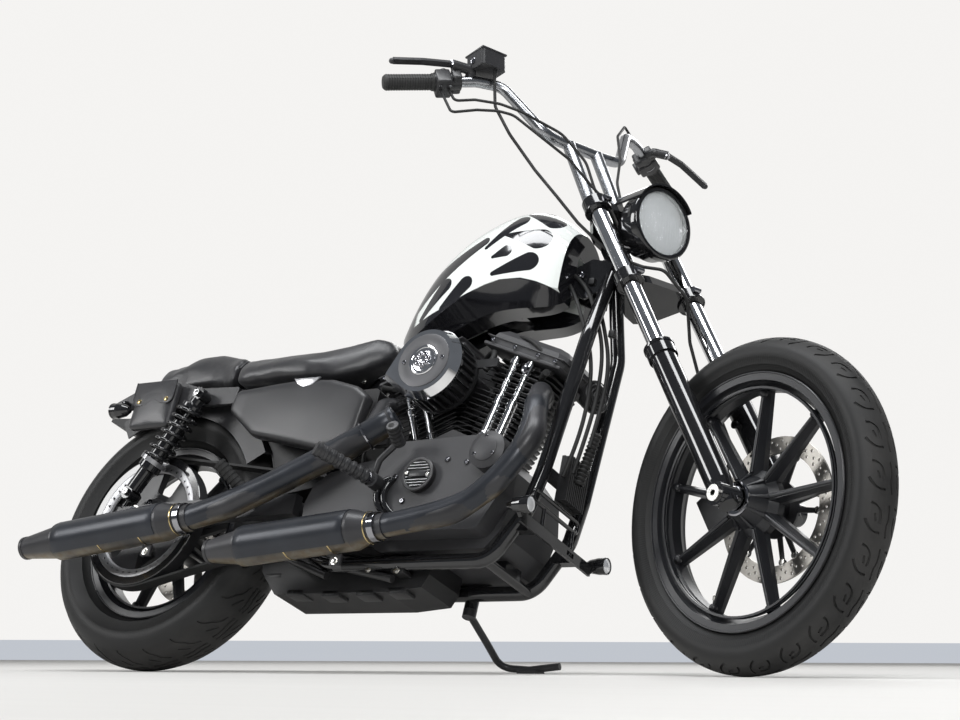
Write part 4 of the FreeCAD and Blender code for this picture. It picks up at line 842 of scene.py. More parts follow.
def tyreProfile(spec):
    radius, crown, width = spec["radius"], spec["crown"], spec["width"]
    bead, half = spec["bead"], spec["half"]
    outer = []
    for degrees in (0, 7, 14, 21, 28, 34, 37):
        turn = math.radians(degrees)
        outer.append((radius - crown + crown * math.cos(turn), crown * math.sin(turn)))
    shoulderRadius, shoulderY = outer[-1]
    middle = (radius + bead) / 2 + 6
    wall = [(shoulderRadius - 2.5, shoulderY + (width - shoulderY) * 0.22),
            (shoulderRadius - 9, shoulderY + (width - shoulderY) * 0.52),
            (middle + 12, width - 2.2), (middle + 3, width - 0.3), (middle - 9, width - 0.4),
            (middle - 10.5, width - 1.6),
            (bead + 27, half + (width - half) * 0.66), (bead + 25.6, half + (width - half) * 0.5),
            (bead + 18, half + 4.6), (bead + 13.2, half + 0.2), (bead, half)]
    inner = [(bead, half - 10), (bead + 16, half - 7), (middle, width - 10),
             (shoulderRadius - 10, shoulderY - 6)]
    side = outer[1:] + wall + inner
    return [outer[0]] + side + [(radius - 14, 0)] + [(r, -y) for r, y in reversed(side)]


def surfaceRadius(spec, y):
    crown = spec["crown"]
    away = min(abs(y), crown * 0.60)
    radius = spec["radius"] - crown + math.sqrt(crown * crown - away * away)
    return radius - max(0.0, abs(y) - away) * 0.75


def buildTyre(name):
    spec = tyres[name]
    ring = tyreProfile(spec)
    units, steps = spec["units"], 5
    stretch = 2 * math.pi / units
    deselect()
    bpy.ops.mesh.primitive_circle_add(vertices=len(ring), radius=mm, fill_type="NGON")
    piece = bpy.context.object
    start = -stretch / 2
    for corner, (radius, y) in zip(piece.data.vertices, ring):
        corner.co = spot(radius * math.cos(start), y, radius * math.sin(start))
    edit(piece)
    for i in range(steps):
        bpy.ops.mesh.extrude_region_move()
        bpy.ops.transform.rotate(value=stretch / steps, orient_axis="Y", center_override=(0, 0, 0))
    bpy.ops.mesh.select_all(action="SELECT")
    bpy.ops.mesh.normals_make_consistent(inside=False)
    done(piece)
    if max(corner.co.z for corner in piece.data.vertices) < 0.01:
        piece.data.transform(Matrix.Rotation(-stretch, 4, "Y"))
    for path, radius in spec["grooves"]:
        points = []
        for turn, y in path:
            level = surfaceRadius(spec, y) - 0.8
            angle = math.radians(turn)
            points.append(spot(level * math.cos(angle), y, level * math.sin(angle)))
        carved(piece, bar(points, radius, 1, 4))
    caps = []
    for face in piece.data.polygons:
        angles = [math.atan2(piece.data.vertices[i].co.z, piece.data.vertices[i].co.x) for i in face.vertices]
        if min(angles) > stretch * 0.4999 or max(angles) < -stretch * 0.4999:
            caps.append(face.index)
    dropFaces(piece, caps, "ONLY_FACE")
    whole = spread(piece, [Matrix.Rotation(stretch * i, 4, "Y") for i in range(units)])
    edit(whole)
    bpy.ops.mesh.remove_doubles(threshold=0.0001)
    bpy.ops.mesh.normals_make_consistent(inside=False)
    done(whole)
    whole.data.transform(Matrix.Translation(spec["centre"]))
    settled(whole, name + "_tyre_v", spec["body"], spec["finish"], (spec["node"],), 40)
    print(name, "tyre built")


buildTyre("front")
buildTyre("rear")


# wheel details round an axle: a flat ring of holes, screws or ribs
def around(centre, count, radius, y, first=0.0):
    return [Matrix.Translation(centre) @ spun(-(first + 360.0 * i / count), "Y") @ moved(radius, y, 0)
            for i in range(count)]


def socketScrew(radius=4.5, height=4.0):
    # socket head pointing along -Y
    return lathe([(0, 0), (radius, 0), (radius, height - 0.6), (radius - 0.6, height),
                  (radius * 0.55, height),
                  (radius * 0.5, height * 0.45), (0, height * 0.4)], Vector(), rightWay, 14)


def hexHead(radius=8.0, height=5.0):
    body = rod(Vector(), spot(0, -height, 0), radius, radius, 6)
    washer = rod(Vector(), spot(0, -1.4, 0), radius * 1.25, radius * 1.25, 20)
    return joined([softened(body, 0.5), washer])


def plate(inner, outer, low, high, sides=96):
    return lathe([(inner, low), (outer, low), (outer, high), (inner, high)], Vector(), leftWay, sides, True)


def drilledPlate(inner, outer, low, high, rows, margin):
    # rows of drillings, as (count, radius, first angle)
    drills = []
    for count, radius, first in rows:
        for i in range(count):
            angle = math.radians(first + 360.0 * i / count)
            at = spot(radius * math.cos(angle), low - margin, radius * math.sin(angle))
            drills.append(rod(at, at + spot(0, high - low + 2 * margin, 0), 3.4, None, 8))
    return carved(plate(inner, outer, low, high), joined(drills))


def buildFrontDisc():
    disc = {"outer": 146.0, "inner": 112.0, "y": 54.5, "thick": 5.0}
    low, high = disc["y"] - disc["thick"] / 2, disc["y"] + disc["thick"] / 2
    rows = ((30, 138.0, 0), (30, 130.0, 6), (30, 121.5, 2))
    ring = drilledPlate(disc["inner"], disc["outer"], low, high, rows, 3)
    ring.data.transform(Matrix.Translation(frontAxle))
    settled(ring, "front_disc_v", "front_wheel", frontDiscSteel, ("front_disc",), 30)
    pieces = [plate(36.5, 58, low, high, 48)]
    armEdge = [(54, -6), (100, -5), (113.5, -8), (113.5, 8), (100, 5), (54, 6)]
    for i in range(5):
        for tilt in (-9.0, 9.0):
            pieces.append(placed(slab(armEdge, low + 0.8, high - 0.8), spun(72.0 * i + tilt, "Y")))
    hub = placed(joined(pieces), Matrix.Translation(frontAxle))
    settled(hub, "front_disc_spider_v", "front_wheel", satinBlack, (), 30)
    cap = [(0, 0), (7.5, 0), (7.5, 1), (6, 1.6), (3.4, 1.6), (3, 0.6), (0, 0.6)]
    button = joined([lathe(cap, Vector(), leftWay, 20), lathe(cap, spot(0, -disc["thick"], 0), rightWay, 20)])
    turns = [m for i in range(5) for tilt in (-9, 9) for m in around(frontAxle, 1, 108.0, high,
            72.0 * i + tilt)]
    settled(spread(button, turns), "disc_buttons_v", "front_wheel", zinc)
    bolts = placed(socketScrew(5.0, 4.5), spun(180, "X"))
    settled(spread(bolts, around(frontAxle, 5, 47.0, high, 36)), "disc_bolts_v", "front_wheel", darkChrome)
    print("front disc built")


def buildHubs():
    # bearing ring and dust cap on the right of the front hub, ribs down its cone
    cap = lathe([(14, 55), (31, 55), (33.6, 56.2), (33.8, 58.6), (30, 60), (24, 60.2), (22, 58.4),
                 (16, 58.2), (14, 57)],
                frontAxle, rightWay, 56, True)
    settled(cap, "hub_ring_v", "front_wheel", darkChrome)
    rib = slab([(34, -2.2), (66, -4.5), (66, 4.5), (34, 2.2)], -56, -7)
    for corner in rib.data.vertices:
        if corner.co.x > 0.05:
            corner.co.y = min(corner.co.y, 0.0) * (0.22 if corner.co.y < -0.03 else 1.0)
    ribs = spread(softened(rib, 1.2), around(frontAxle, 9, 0, 0, 3))
    settled(ribs, "hub_ribs_v", "front_wheel", wheelBlack)
    # the valve stem stands on the rim's inner face
    valve = {"angle": math.radians(-118), "radius": 0.228}
    out = Vector((math.cos(valve["angle"]), 0, math.sin(valve["angle"])))
    foot = frontAxle + out * valve["radius"] + spot(0, -6, 0)
    stem = lathe([(0, 0), (5.5, 0), (5.5, 5), (3.2, 8), (3.2, 26), (4.2, 27), (4.2, 36), (0, 37)], foot,
                 -out + Vector((0, -0.35, 0)), 20)
    settled(stem, "valve_stem_v", "front_wheel", zinc)
    # a rounded ridge along each spoke, two steps inside the barrels and a raised line on both rims
    # name, body, axle, bead radius, half width, angle of the first spoke, its face near the hub and near the rim
    wheels = (("front", "front_wheel", frontAxle, 241.3, 34.3, 3, -24.0, -14.0),
              ("rear", "rear_wheel", rearAxle, 203.2, 40.3, 12, -16.0, -12.0))
    for name, body, centre, bead, half, first, near, far in wheels:
        ridges = []
        for i in range(9):
            turn = math.radians(first + 40 * i)
            way = Vector((math.cos(turn), 0, math.sin(turn)))
            start = centre + way * 0.058 + spot(0, near, 0)
            ridges.append(rod(start, centre + way * (bead - 17) * mm + spot(0, far, 0), 4.6, 3.6, 12))
            ridges.append(ball(centre + way * (bead - 24) * mm + spot(0, far, 0), 9.0, 14))
        settled(joined(ridges), "%s_spoke_ridges_v" % name, body, wheelBlack)
        steps = [lathe([(bead - 19.5, y - 2), (bead - 15, y - 2.4), (bead - 15, y + 2.4),
                        (bead - 19.5, y + 2)],
                       centre, leftWay, 96, True) for y in (far - 12, far - 20)]
        settled(joined(steps), "%s_rim_steps_v" % name, body, wheelBlack)
    lipEdge = ((9.8, 6.0), (12.8, 6.2), (13.4, 7.4), (12.4, 8.2), (10.6, 8.0))
    for name, body, centre, bead, half, first, near, far in wheels:
        for sideName, side in bothSides:
            lip = lathe([(bead + r, half + y) for r, y in lipEdge], centre, Vector((0, side, 0)), 120, True)
            settled(lip, "%s_rim_bead_%s_v" % (name, sideName), body, wheelBlack)
    screws = around(rearAxle, 5, 45.0, -112.0, 20)
    settled(spread(hexHead(6.5, 5), screws), "pulley_bolts_v", "rear_wheel", darkChrome)
    outer = lathe([(143, 111.4), (157.5, 111.4), (160.4, 112), (161.4, 114.4), (160, 116), (143, 115.2)],
                  rearAxle,
                  rightWay, 120, True)
    settled(outer, "pulley_flange_v", "rear_wheel", glossBlack)
    band = lathe([(122, 104), (140, 108.5), (142.6, 115.4), (139, 116.2), (124, 112), (121, 108)], rearAxle,
                 rightWay, 120, True)
    holes = [rod(m.translation + spot(0, 12, 0), m.translation - spot(0, 12, 0), 2.6, None, 10)
             for m in around(rearAxle, 40, 131.0, -110.0)]
    settled(carved(band, joined(holes)), "pulley_band_v", "rear_wheel", castAluminium)
    low, high = 85.5, 90.5
    pieces = [drilledPlate(96, 130, low, high, ((26, 121.0, 0), (26, 112.0, 7)), 5.5),
              plate(40.4, 54, low, high, 48)]
    for i in range(5):
        arm = slab([(50, -10), (98, -14), (98, 14), (50, 10)], low + 0.8, high - 0.8)
        pieces.append(placed(arm, spun(72.0 * i, "Y")))
    whole = placed(joined(pieces), Matrix.Translation(rearAxle))
    settled(whole, "rear_disc_v", "rear_wheel", rearDiscSteel, ("rear_disc",), 30)
    print("hubs and rear wheel details built")


buildFrontDisc()
buildHubs()


# soft parts: the seat's two pads and the side pouch are blown up a little as cloth
def nodeCopy(nodeName, name):
    source = nodes[nodeName]
    piece = bpy.data.objects.new(name, source.data.copy())
    scene.collection.objects.link(piece)
    piece.data.transform(bikeMatrix.inverted() @ source.matrix_world)
    return piece


def stuffed(piece, voxel, pressure, limit):
    modified(piece, "REMESH", mode="VOXEL", voxel_size=voxel * mm)
    modified(piece, "SMOOTH", factor=0.5, iterations=8)
    before = [corner.co.copy() for corner in piece.data.vertices]
    pick(piece)
    cloth = piece.modifiers.new("cloth", "CLOTH")
    cloth.settings.use_pressure = True
    cloth.settings.uniform_pressure_force = pressure
    cloth.settings.effector_weights.gravity = 0.0
    cloth.settings.tension_stiffness = 12
    cloth.settings.compression_stiffness = 12
    cloth.settings.bending_stiffness = 2
    cloth.point_cache.frame_end = 20
    for step in range(1, 21):
        scene.frame_set(step)
    bpy.ops.object.modifier_apply(modifier="cloth")
    scene.frame_set(1)
    for corner, start in zip(piece.data.vertices, before):
        move = corner.co - start
        if move.length > limit * mm:
            corner.co = start + move.normalized() * limit * mm
    modified(piece, "SMOOTH", factor=0.5, iterations=14)
    return modified(piece, "SUBSURF", levels=1)


def struck(piece, x, y):
    # where a ray from above meets the piece
    hit, place, normal = piece.ray_cast(spot(x, y, 1000), -upWay)[:3]
    return (place, normal) if hit else (None, None)


seat = {"seam": 174.0, "voxel": 6.0, "pressure": 3.0, "limit": 4.0}


def buildSeat():
    rear = carved(nodeCopy("seat", "seat_rear"), block((seat["seam"] - 2, 900), (-300, 300), (500, 900)))
    front = carved(nodeCopy("seat", "seat_front"), block((-400, seat["seam"] + 2), (-300, 300), (500, 900)))
    for corner in rear.data.vertices:
        if corner.co.x < -0.07:
            corner.co.x -= 0.012
            corner.co.z += 0.006 if corner.co.z > 0.69 else 0.0
    for piece in (rear, front):
        stuffed(piece, seat["voxel"], seat["pressure"], seat["limit"])
    seam, studs = [], []
    for i in range(-12, 13):
        place, normal = struck(front, seat["seam"] + 9, i * 11.0)
        if place:
            seam.append(place + spot(-6, 0, 0.5))
    for name, side in bothSides:
        stitch = []
        for i in range(20):
            x = 190 + i * 17.5
            half = 96 - 0.0016 * (x - 330) ** 2
            place, normal = struck(front, x, side * half)
            if not place:
                continue
            stitch.append(place + normal * 0.0006)
            if i % 2 == 0 and 2 < i < 19:
                studs.append(facing(place + normal * 0.0004, normal))
        settled(bar(stitch, 1.6, 3, 4), "seat_welt_%s_v" % name, "frame", leather)
    settled(bar(seam, 3.4, 4, 4), "seat_seam_v", "frame", leather)
    button = lathe([(0, 0), (3.6, 0), (3.4, 1.0), (2, 1.8), (0, 2.1)], Vector(), upWay, 14)
    settled(spread(button, studs), "seat_studs_v", "frame", darkChrome)
    settled(rear, "seat_rear_v", "frame", leather, ("seat",), 60)
    settled(front, "seat_front_v", "frame", leather, (), 60)
    # a bolt holds the seat's nose
    bolt = placed(hexHead(7, 5), moved(496, -52, 673))
    settled(bolt, "seat_bolt_v", "frame", zinc)
    print("seat stuffed")


def buildPouch():
    bag = stuffed(nodeCopy("tool_pouch", "pouch"), 5.0, 4.0, 5.0)
    settled(bag, "pouch_v", "frame", leather, ("tool_pouch",), 60)
    outline = [(-106, 668), (20, 668), (22, 628), (18, 612), (4, 606), (-20, 610), (-42, 622), (-62, 608),
               (-84, 604), (-102, 610), (-107, 626)]
    flap = softened(slab(outline, -155.5, -152.2), 1.2, 2)
    settled(flap, "pouch_flap_v", "frame", leather)
    edge = [spot(x, -155.4, z) for x, z in outline[1:]] + [spot(-106, -155.4, 668)]
    settled(bar(edge, 1.3, 3, 5), "pouch_welt_v", "frame", leather)
    snaps = [moved(x, -155.2, z) @ spun(90, "X") for x, z in ((-84, 616), (0, 618))]
    snap = lathe([(0, 0), (6.5, 0), (6.4, 1.4), (4.2, 2.4), (0, 2.8)], Vector(), upWay, 20)
    settled(spread(snap, snaps), "pouch_snaps_v", "frame", brass)
    print("pouch stuffed")


buildSeat()
buildPouch()


# exhausts: satin shields over the outer upper half of the pipes, with bands, clamps and dark ends
def halfShell(points, radius, facingWay, cover=-0.08, thick=1.6, steps=8):
    shell = bar(points, radius, 7, steps)
    centreLine = []
    for a, b in zip(points[:-1], points[1:]):
        for i in range(12):
            centreLine.append(along(a, b, i / 12))
    centreLine.append(points[-1])
    drop = []
    way = facingWay.normalized()
    for face in shell.data.polygons:
        place = face.center
        near = min(centreLine, key=lambda c: (c - place).length_squared)
        out = (place - near).normalized()
        endCap = len(face.vertices) > 4
        if out.dot(way) < cover or endCap:
            drop.append(face.index)
    dropFaces(shell, drop, "FACE")
    modified(shell, "SOLIDIFY", thickness=thick * mm, offset=-1.0)
    return softened(shell, 0.5, 2, 60)


exhausts = {
    "outward": Vector((0.0, -0.78, 0.62)),
    "frontPipe": [(1046, -150, 522), (1080, -186, 430), (1010, -192, 322), (930, -197, 262),
                  (762, -200, 238)],
    "rearPipe": [(684, -154, 507), (590, -172, 437), (330, -196, 306), (222, -198, 280)],
    # cans as start, end, radius, length of the bare tail, radius of collar and of weld
    "frontCan": [(770, -200, 239), (306, -196, 199), 43, 92, 30.4, 33.5],
    "rearCan": [(228, -198, 283), (-270, -194, 227), 43, 110, 33.4, 36],
}


def band(place, axis, radius, width, material, name, thick=1.6):
    ring = lathe([(radius, -width / 2), (radius + thick, -width / 2), (radius + thick, width / 2),
                  (radius, width / 2)],
                 place, axis, 48, True)
    settled(softened(ring, 0.4, 1), name, "frame", material)


shieldSatin = satinPaint("shieldSatin", (0.026, 0.029, 0.036), 0.33, metallic=0.35)


def buildExhausts():
    outward = exhausts["outward"]
    front, rear = spots(exhausts["frontPipe"]), spots(exhausts["rearPipe"])
    settled(halfShell(front, 25.6, Vector((0.25, -0.8, 0.5)), -0.15), "shield_front_v", "frame",
            shieldSatin)
    settled(halfShell(rear, 29.6, Vector((0, -0.7, 0.7)), -0.2), "shield_rear_v", "frame", shieldSatin)
    for name in ("frontCan", "rearCan"):
        start, end, radius, tail, collar, weld = exhausts[name]
        start, end = spot(*start), spot(*end)
        axis = (end - start).normalized()
        first, last = start + axis * 0.082, end - axis * (tail * mm + 0.006)
        shell = halfShell([first, along(first, last, 0.5), last], radius + 2.0, outward, -0.05)
        settled(shell, name + "_shield_v", "frame", shieldSatin)
        for i, share in enumerate((0.16, 0.56)):
            place = along(first, last, share)
            slot = halfShell([place - axis * 0.0016, place, place + axis * 0.0016], radius + 1.2, -outward,
                             0.0, 1.0, 3)
            settled(slot, "%s_band_%d_v" % (name, i), "frame", brass)
        band(start + axis * 0.022, axis, collar, 15, darkChrome, name + "_collar_v")
        band(start + axis * 0.036, axis, weld, 3, brass, name + "_weld_v", thick=1.0)
        mouth = lathe([(25.6, 0.4), (25.9, -7), (27.2, -7), (27, 1.2), (25.0, 1.8), (21.5, 0.8),
                       (21.5, -46), (25.6, -46)],
                      end, axis, 48, True)
        settled(mouth, name + "_mouth_v", "frame", satinBlack, smooth=50)
        baffle = lathe([(20.9, -48), (22.6, -48), (22.6, -18), (20.9, -18)], end, axis, 48, True)
        settled(baffle, name + "_baffle_v", "frame", plasticBlack)
        foot = along(first, last, 0.12) - spot(0, -8, radius + 3)
        tab = softened(block((-14, 14), (-4, 4), (-26, 0)), 1.5)
        settled(placed(tab, Matrix.Translation(foot)), name + "_hanger_v", "frame", satinBlack)
        nut = placed(hexHead(6.5, 5), Matrix.Translation(foot + spot(0, -4, -17)))
        settled(nut, name + "_hanger_bolt_v", "frame", zinc)
    axis = (rear[1] - rear[0]).normalized()
    band(rear[0] + axis * 0.062, axis, 31.6, 4, darkChrome, "rear_clamp_v")
    # stub and cap where the rear header leaves its shield
    end = spot(692, -152, 514)
    away = (end - spot(590, -172, 437)).normalized()
    cap = lathe([(29.6, -6), (29.6, 1), (27.5, 3.4), (22, 4.4), (0, 5)], end, away, 48)
    settled(cap, "shield_cap_v", "frame", shieldSatin, smooth=50)
    for i, (x, z) in enumerate(((640, 463), (520, 396), (405, 336))):
        screw = placed(socketScrew(4.5, 3.5), moved(x, -181 - i * 11, z + 5) @ spun(-12, "X"))
        settled(screw, "shield_screw_%d_v" % i, "frame", darkChrome)
    print("exhausts dressed")


buildExhausts()


# engine dress: round covers, screws, rocker cover tiers, air cleaner face and pipes
engine = {"crank": (810, 345), "halfAngle": 22.5, "fins": 14, "firstFin": 160, "finStep": 12}


def engineAxes(direction):
    # up and across ways of a cylinder, which leans from the crank by half the angle of the V
    turn = math.radians(engine["halfAngle"])
    up = Vector((direction * math.sin(turn), 0, math.cos(turn)))
    return up, Vector((up.z, 0, -up.x))


def onEngine(direction, s, t, y):
    up, acrossWay = engineAxes(direction)
    return spot(engine["crank"][0], y, engine["crank"][1]) + (up * s + acrossWay * t) * mm


def copiesAt(piece, places, y):
    return spread(piece, [moved(x, y, z) for x, z in places])


def screwsAt(places, y, radius, height):
    return copiesAt(socketScrew(radius, height), places, y)


def cable(route, radius, name):
    settled(bar(spots(route), radius, 4, 8), name, "frame", rubber)


def buildAirCleaner():
    centre = spot(768, -196, 626)
    # grey recessed ring, polished middle with a plain relief
    ring = lathe([(35, -1), (62, -1), (63.6, 0.6), (63.6, 1.4), (62.4, 1.9), (36, 1.9), (34.6, 1.2)],
                 centre, rightWay, 96, True)
    faceGrey = satinPaint("faceGrey", (0.10, 0.10, 0.105), 0.42, metallic=0.3)
    settled(ring, "cleaner_ring_v", "frame", faceGrey)
    middle = lathe([(36, -1), (36, 2.8), (34.5, 4.2), (31, 3.8), (29, 2.2), (22, 2.0), (18, 4.0), (11, 6.4),
                    (0, 7.2)],
                   centre, rightWay, 96)
    settled(middle, "cleaner_middle_v", "frame", chrome)
    petals = []
    for i in range(7):
        turn = math.radians(i * 360 / 7 + 15)
        petal = ball(spot(13.5 * math.cos(turn), 0, 13.5 * math.sin(turn)), 7.5, 14)
        petals.append(placed(petal, Matrix.Scale(0.55, 4, leftWay)))
    relief = placed(joined(petals), Matrix.Translation(centre + rightWay * 0.006))
    settled(relief, "cleaner_relief_v", "frame", darkChrome)
    settled(screwsAt([(719, 624), (817, 628)], -197.8, 5.0, 2.6), "cleaner_screws_v", "frame", darkChrome)
    slotted = []
    for i in range(26):
        window = softened(block((-3.4, 3.4), (-47, -4), (-4, 4)), 1.2, 2)
        slotted.append(placed(window, moved(768, -116, 626) @ spun(-i * 360 / 26, "Y") @ moved(0, 0, 71.5)))
    settled(joined(slotted), "filter_windows_v", "frame", plasticBlack)
    hose = spots([(830, -60, 690), (862, -84, 700), (880, -96, 676), (866, -104, 640)])
    settled(bar(hose, 7, 5, 8), "breather_v", "frame", rubber)
    print("air cleaner built")


def buildRockers():
    for name, direction in (("front", 1), ("rear", -1)):
        low, high = (-118, 103) if direction > 0 else (-103, 118)
        up, acrossWay = engineAxes(direction)
        axes = Matrix((acrossWay, leftWay, up)).transposed().to_4x4()
        toHead = moved(engine["crank"][0], 0, engine["crank"][1]) @ axes
        pieces = []
        for s0, s1, grow in ((354.5, 363, 2.2), (376, 379.5, 2.0)):
            tier = block((low - grow, high + grow), (-88 - grow, 58 + grow), (s0, s1))
            pieces.append(softened(placed(tier, toHead), 3.2, 3))
        settled(joined(pieces), "rocker_tiers_%s_v" % name, "frame", coverGrey)
        # bolts round the lower flange
        bolts = [Matrix.Translation(onEngine(direction, 368, t * direction, -91)) for t in (-96, -30, 38, 88)]
        settled(spread(socketScrew(5, 4), bolts), "rocker_bolts_%s_v" % name, "frame", darkChrome)
        # rounded edges on the cooling fins
        trims = []
        for i in range(engine["fins"]):
            s = engine["firstFin"] + i * engine["finStep"]
            trims.append(rod(onEngine(direction, s, -70, -87.4), onEngine(direction, s, 70, -87.4), 1.3,
                             None, 6))
        settled(joined(trims), "fin_edges_%s_v" % name, "frame", engineBlack)
    # where each pushrod tube has its foot and head across the cylinder, and which cylinder
    tubes = ((9, -20, 1), (48, 22, 1), (-37, -40, -1), (3, -2, -1))
    collars = []
    for footAcross, headAcross, direction in tubes:
        a, b = onEngine(direction, 148.3, footAcross, -82), onEngine(direction, 351, headAcross, -79)
        axis = (b - a).normalized()
        for share, radius, width in ((0.03, 14, 10), (0.11, 12.6, 3), (0.48, 12.4, 16), (0.53, 13.4, 3),
                                     (0.94, 12, 12)):
            half = width / 2
            collars.append(lathe([(0, -half), (radius - 1, -half), (radius, -half + 1), (radius, half - 1),
                                  (radius - 1, half), (0, half)], along(a, b, share), axis, 32))
    settled(joined(collars), "pushrod_collars_v", "frame", chrome)
    print("rocker covers dressed")


def buildCases():
    timer = spot(792, -162, 372)
    rim = lathe([(31, -1.5), (38.6, -1.5), (38.8, 1.2), (37, 2.6), (33, 2.4), (31, 0.6)], timer, rightWay,
                72, True)
    settled(rim, "timer_rim_v", "frame", satinBlack)
    ribs = []
    for i in range(-4, 5):
        z = i * 6.6
        half = math.sqrt(30.5 ** 2 - z * z)
        # the middle ribs leave room for the label
        for a, b in ((-half, -23), (23, half)) if abs(i) < 2 else ((-half, half),):
            ribs.append(softened(block((a, b), (-2.2, 1), (z - 0.9, z + 0.9)), 0.4, 1))
    settled(placed(joined(ribs), Matrix.Translation(timer)), "timer_ribs_v", "frame", steel)
    label = placed(softened(block((-21, 21), (-2.6, 1), (-6.5, 6.5)), 1.2, 2), Matrix.Translation(timer))
    settled(label, "timer_label_v", "frame", satinBlack)
    settled(screwsAt([(765, 374), (819, 370)], -163.4, 4.2, 2.4), "timer_screws_v", "frame", zinc)
    # screws of the cover, all but the last on raised bosses, and a round cap on the bulge
    places = [(726, 375), (851, 408), (901, 399), (899, 307), (831, 304), (757, 318), (994, 432)]
    settled(screwsAt(places, -148, 5.2, 4), "cover_screws_v", "frame", darkChrome)
    bossEdge = [(0, -4), (9.5, -4), (9, -0.4), (7.5, 0.4), (0, 0.4)]
    bosses = [lathe(bossEdge, spot(x, -147.6, z), rightWay, 28) for x, z in places[:-1]]
    settled(joined(bosses), "cover_bosses_v", "frame", coverGrey)
    bulge = lathe([(26, -1), (29, -1), (29, 1.4), (27.6, 2.4), (10, 3.6), (0, 4)], spot(968, -189.5, 408),
                  rightWay, 56)
    settled(bulge, "bulge_cap_v", "frame", coverGrey)
    settled(screwsAt([(968, 434), (990, 395), (946, 395)], -190.5, 4.2, 3), "bulge_screws_v", "frame",
            darkChrome)
    # curved gloss pipes beside the round cover
    for i in range(2):
        route = spots([(722, -120, 392), (704, -150, 372), (692, -156, 345), (694, -156, 318),
                       (712, -148, 292), (742, -130, 276)])
        pipe = bar([place + spot(i * 18, 0, 0) for place in route], 7.5, 5, 8)
        settled(pipe, "case_pipe_%d_v" % i, "frame", glossBlack)
    # spark plugs with leads
    for name, direction, lead in (("front", 1, [(1010, -40, 640), (990, -96, 690), (930, -84, 730),
            (880, -50, 742)]),
                                  ("rear", -1, [(600, -60, 640), (622, -98, 660), (676, -100, 690),
                                          (720, -60, 730)])):
        base = onEngine(direction, 330, 60 * direction, -70)
        tip = onEngine(direction, 336, 92 * direction, -104)
        plug = joined([rod(base, along(base, tip, 0.5), 8, None, 6),
                       rod(along(base, tip, 0.45), tip, 6, 7.5, 20)])
        settled(plug, "plug_%s_v" % name, "frame", rubber)
        cable([tip / mm] + lead, 3.8, "plug_lead_%s_v" % name)
    # bolts on the heads
    heads = [moved(996, -50, 652), moved(960, -90, 640)]
    settled(spread(hexHead(8, 6), heads), "head_bolts_v", "frame", darkChrome)
    hornWay = Vector((0.97, -0.24, 0))
    rings = [lathe([(r - 1.6, 0), (r, 2.2), (r + 1.6, 0)], Vector(), upWay, 48, True) for r in (10, 18, 26,
            34)]
    rings = placed(joined(rings), facing(spot(1088, -8, 603) + hornWay * 0.012, hornWay))
    settled(rings, "horn_rings_v", "frame", satinBlack)
    print("covers dressed")


def buildBelly():
    # pipes, tabs and bolts that break up the underside
    pieces = []
    for x, z in ((430, 250), (500, 232), (586, 205), (668, 190), (742, 186)):
        pieces.append(softened(block((x - 16, x + 16), (-96, -58), (z - 6, z + 4)), 1.6))
    for a, b in (((410, -92, 232), (560, -96, 176)), ((520, -84, 214), (730, -88, 168)),
                 ((600, -98, 196), (790, -92, 196))):
        pieces.append(rod(spot(*a), spot(*b), 8.5, None, 18))
    for x, z in ((380, 190), (452, 150), (548, 146), (640, 146), (722, 150)):
        pieces.append(softened(block((x - 22, x + 26), (-60, -20), (z - 2, z + 14)), 3))
    settled(joined(pieces), "belly_parts_v", "frame", engineBlack)
    bolts = copiesAt(hexHead(6.5, 5), ((430, 248), (500, 230), (586, 203), (668, 188), (742, 184)), -97)
    settled(bolts, "belly_bolts_v", "frame", zinc)
    wires = [
        [(620, -60, 520), (650, -112, 470), (668, -118, 420), (650, -110, 380)],
        [(640, -60, 540), (610, -104, 500), (588, -110, 452), (600, -100, 410)],
        [(560, -70, 500), (590, -116, 476), (640, -120, 462), (690, -116, 470)],
    ]
    for i, route in enumerate(wires):
        cable(route, 4.2, "case_wire_%d_v" % i)
    print("underside dressed")


buildAirCleaner()
buildRockers()
buildCases()
buildBelly()


# hand controls, levers, grips and fork hardware
grip = {"up": 1250, "ahead": -150, "across": 436, "way": (0.07, -0.455, 0.887), "length": 112}


def gripLine(side):
    # the grip's outer end, the way it points and its inner end
    end = onFork(grip["up"], grip["ahead"], side * grip["across"])
    upShare, aheadShare, acrossShare = grip["way"]
    out = (forkUp * upShare + forkAhead * aheadShare + leftWay * side * acrossShare).normalized()
    return end, out, end - out * grip["length"] * mm


def buildGrips():
    for name, side in bothSides:
        end, out, inner = gripLine(side)
        rings = []
        for i in range(17):
            place = inner + out * (0.008 + i * 0.006)
            rings.append(lathe([(17.2, -1.9), (18.9, -1.2), (18.9, 1.2), (17.2, 1.9)], place, out, 26, True))
        cuts = [placed(block((17.4, 22), (-1.2, 1.2), (0, 120)),
                       facing(inner, out, 36 * k)) for k in range(10)]
        settled(carved(joined(rings), joined(cuts)), "grip_ribs_%s_v" % name, "fork", gripRubber)
        cap = lathe([(0, 3), (11, 3), (17.5, 1.5), (19, -2), (19, -4), (0, -4)], end, out, 36)
        settled(cap, "grip_cap_%s_v" % name, "fork", gripRubber)
        # switch housing seam and buttons
        seam = lathe([(22.1, -0.8), (22.8, -0.8), (22.8, 0.8), (22.1, 0.8)], inner - out * 0.018, out, 36,
                     True)
        settled(seam, "housing_seam_%s_v" % name, "fork", darkChrome)
        buttons = []
        for k, lift in ((0, 6), (1, -8)):
            place = inner - out * (0.012 + k * 0.013) + forkAhead * -0.021 + forkUp * lift * mm
            buttons.append(placed(softened(block((-5, 5), (-5, 5), (-3.5, 3.5)), 1.4),
                                  facing(place, -forkAhead)))
        settled(joined(buttons), "buttons_%s_v" % name, "fork", plasticBlack)


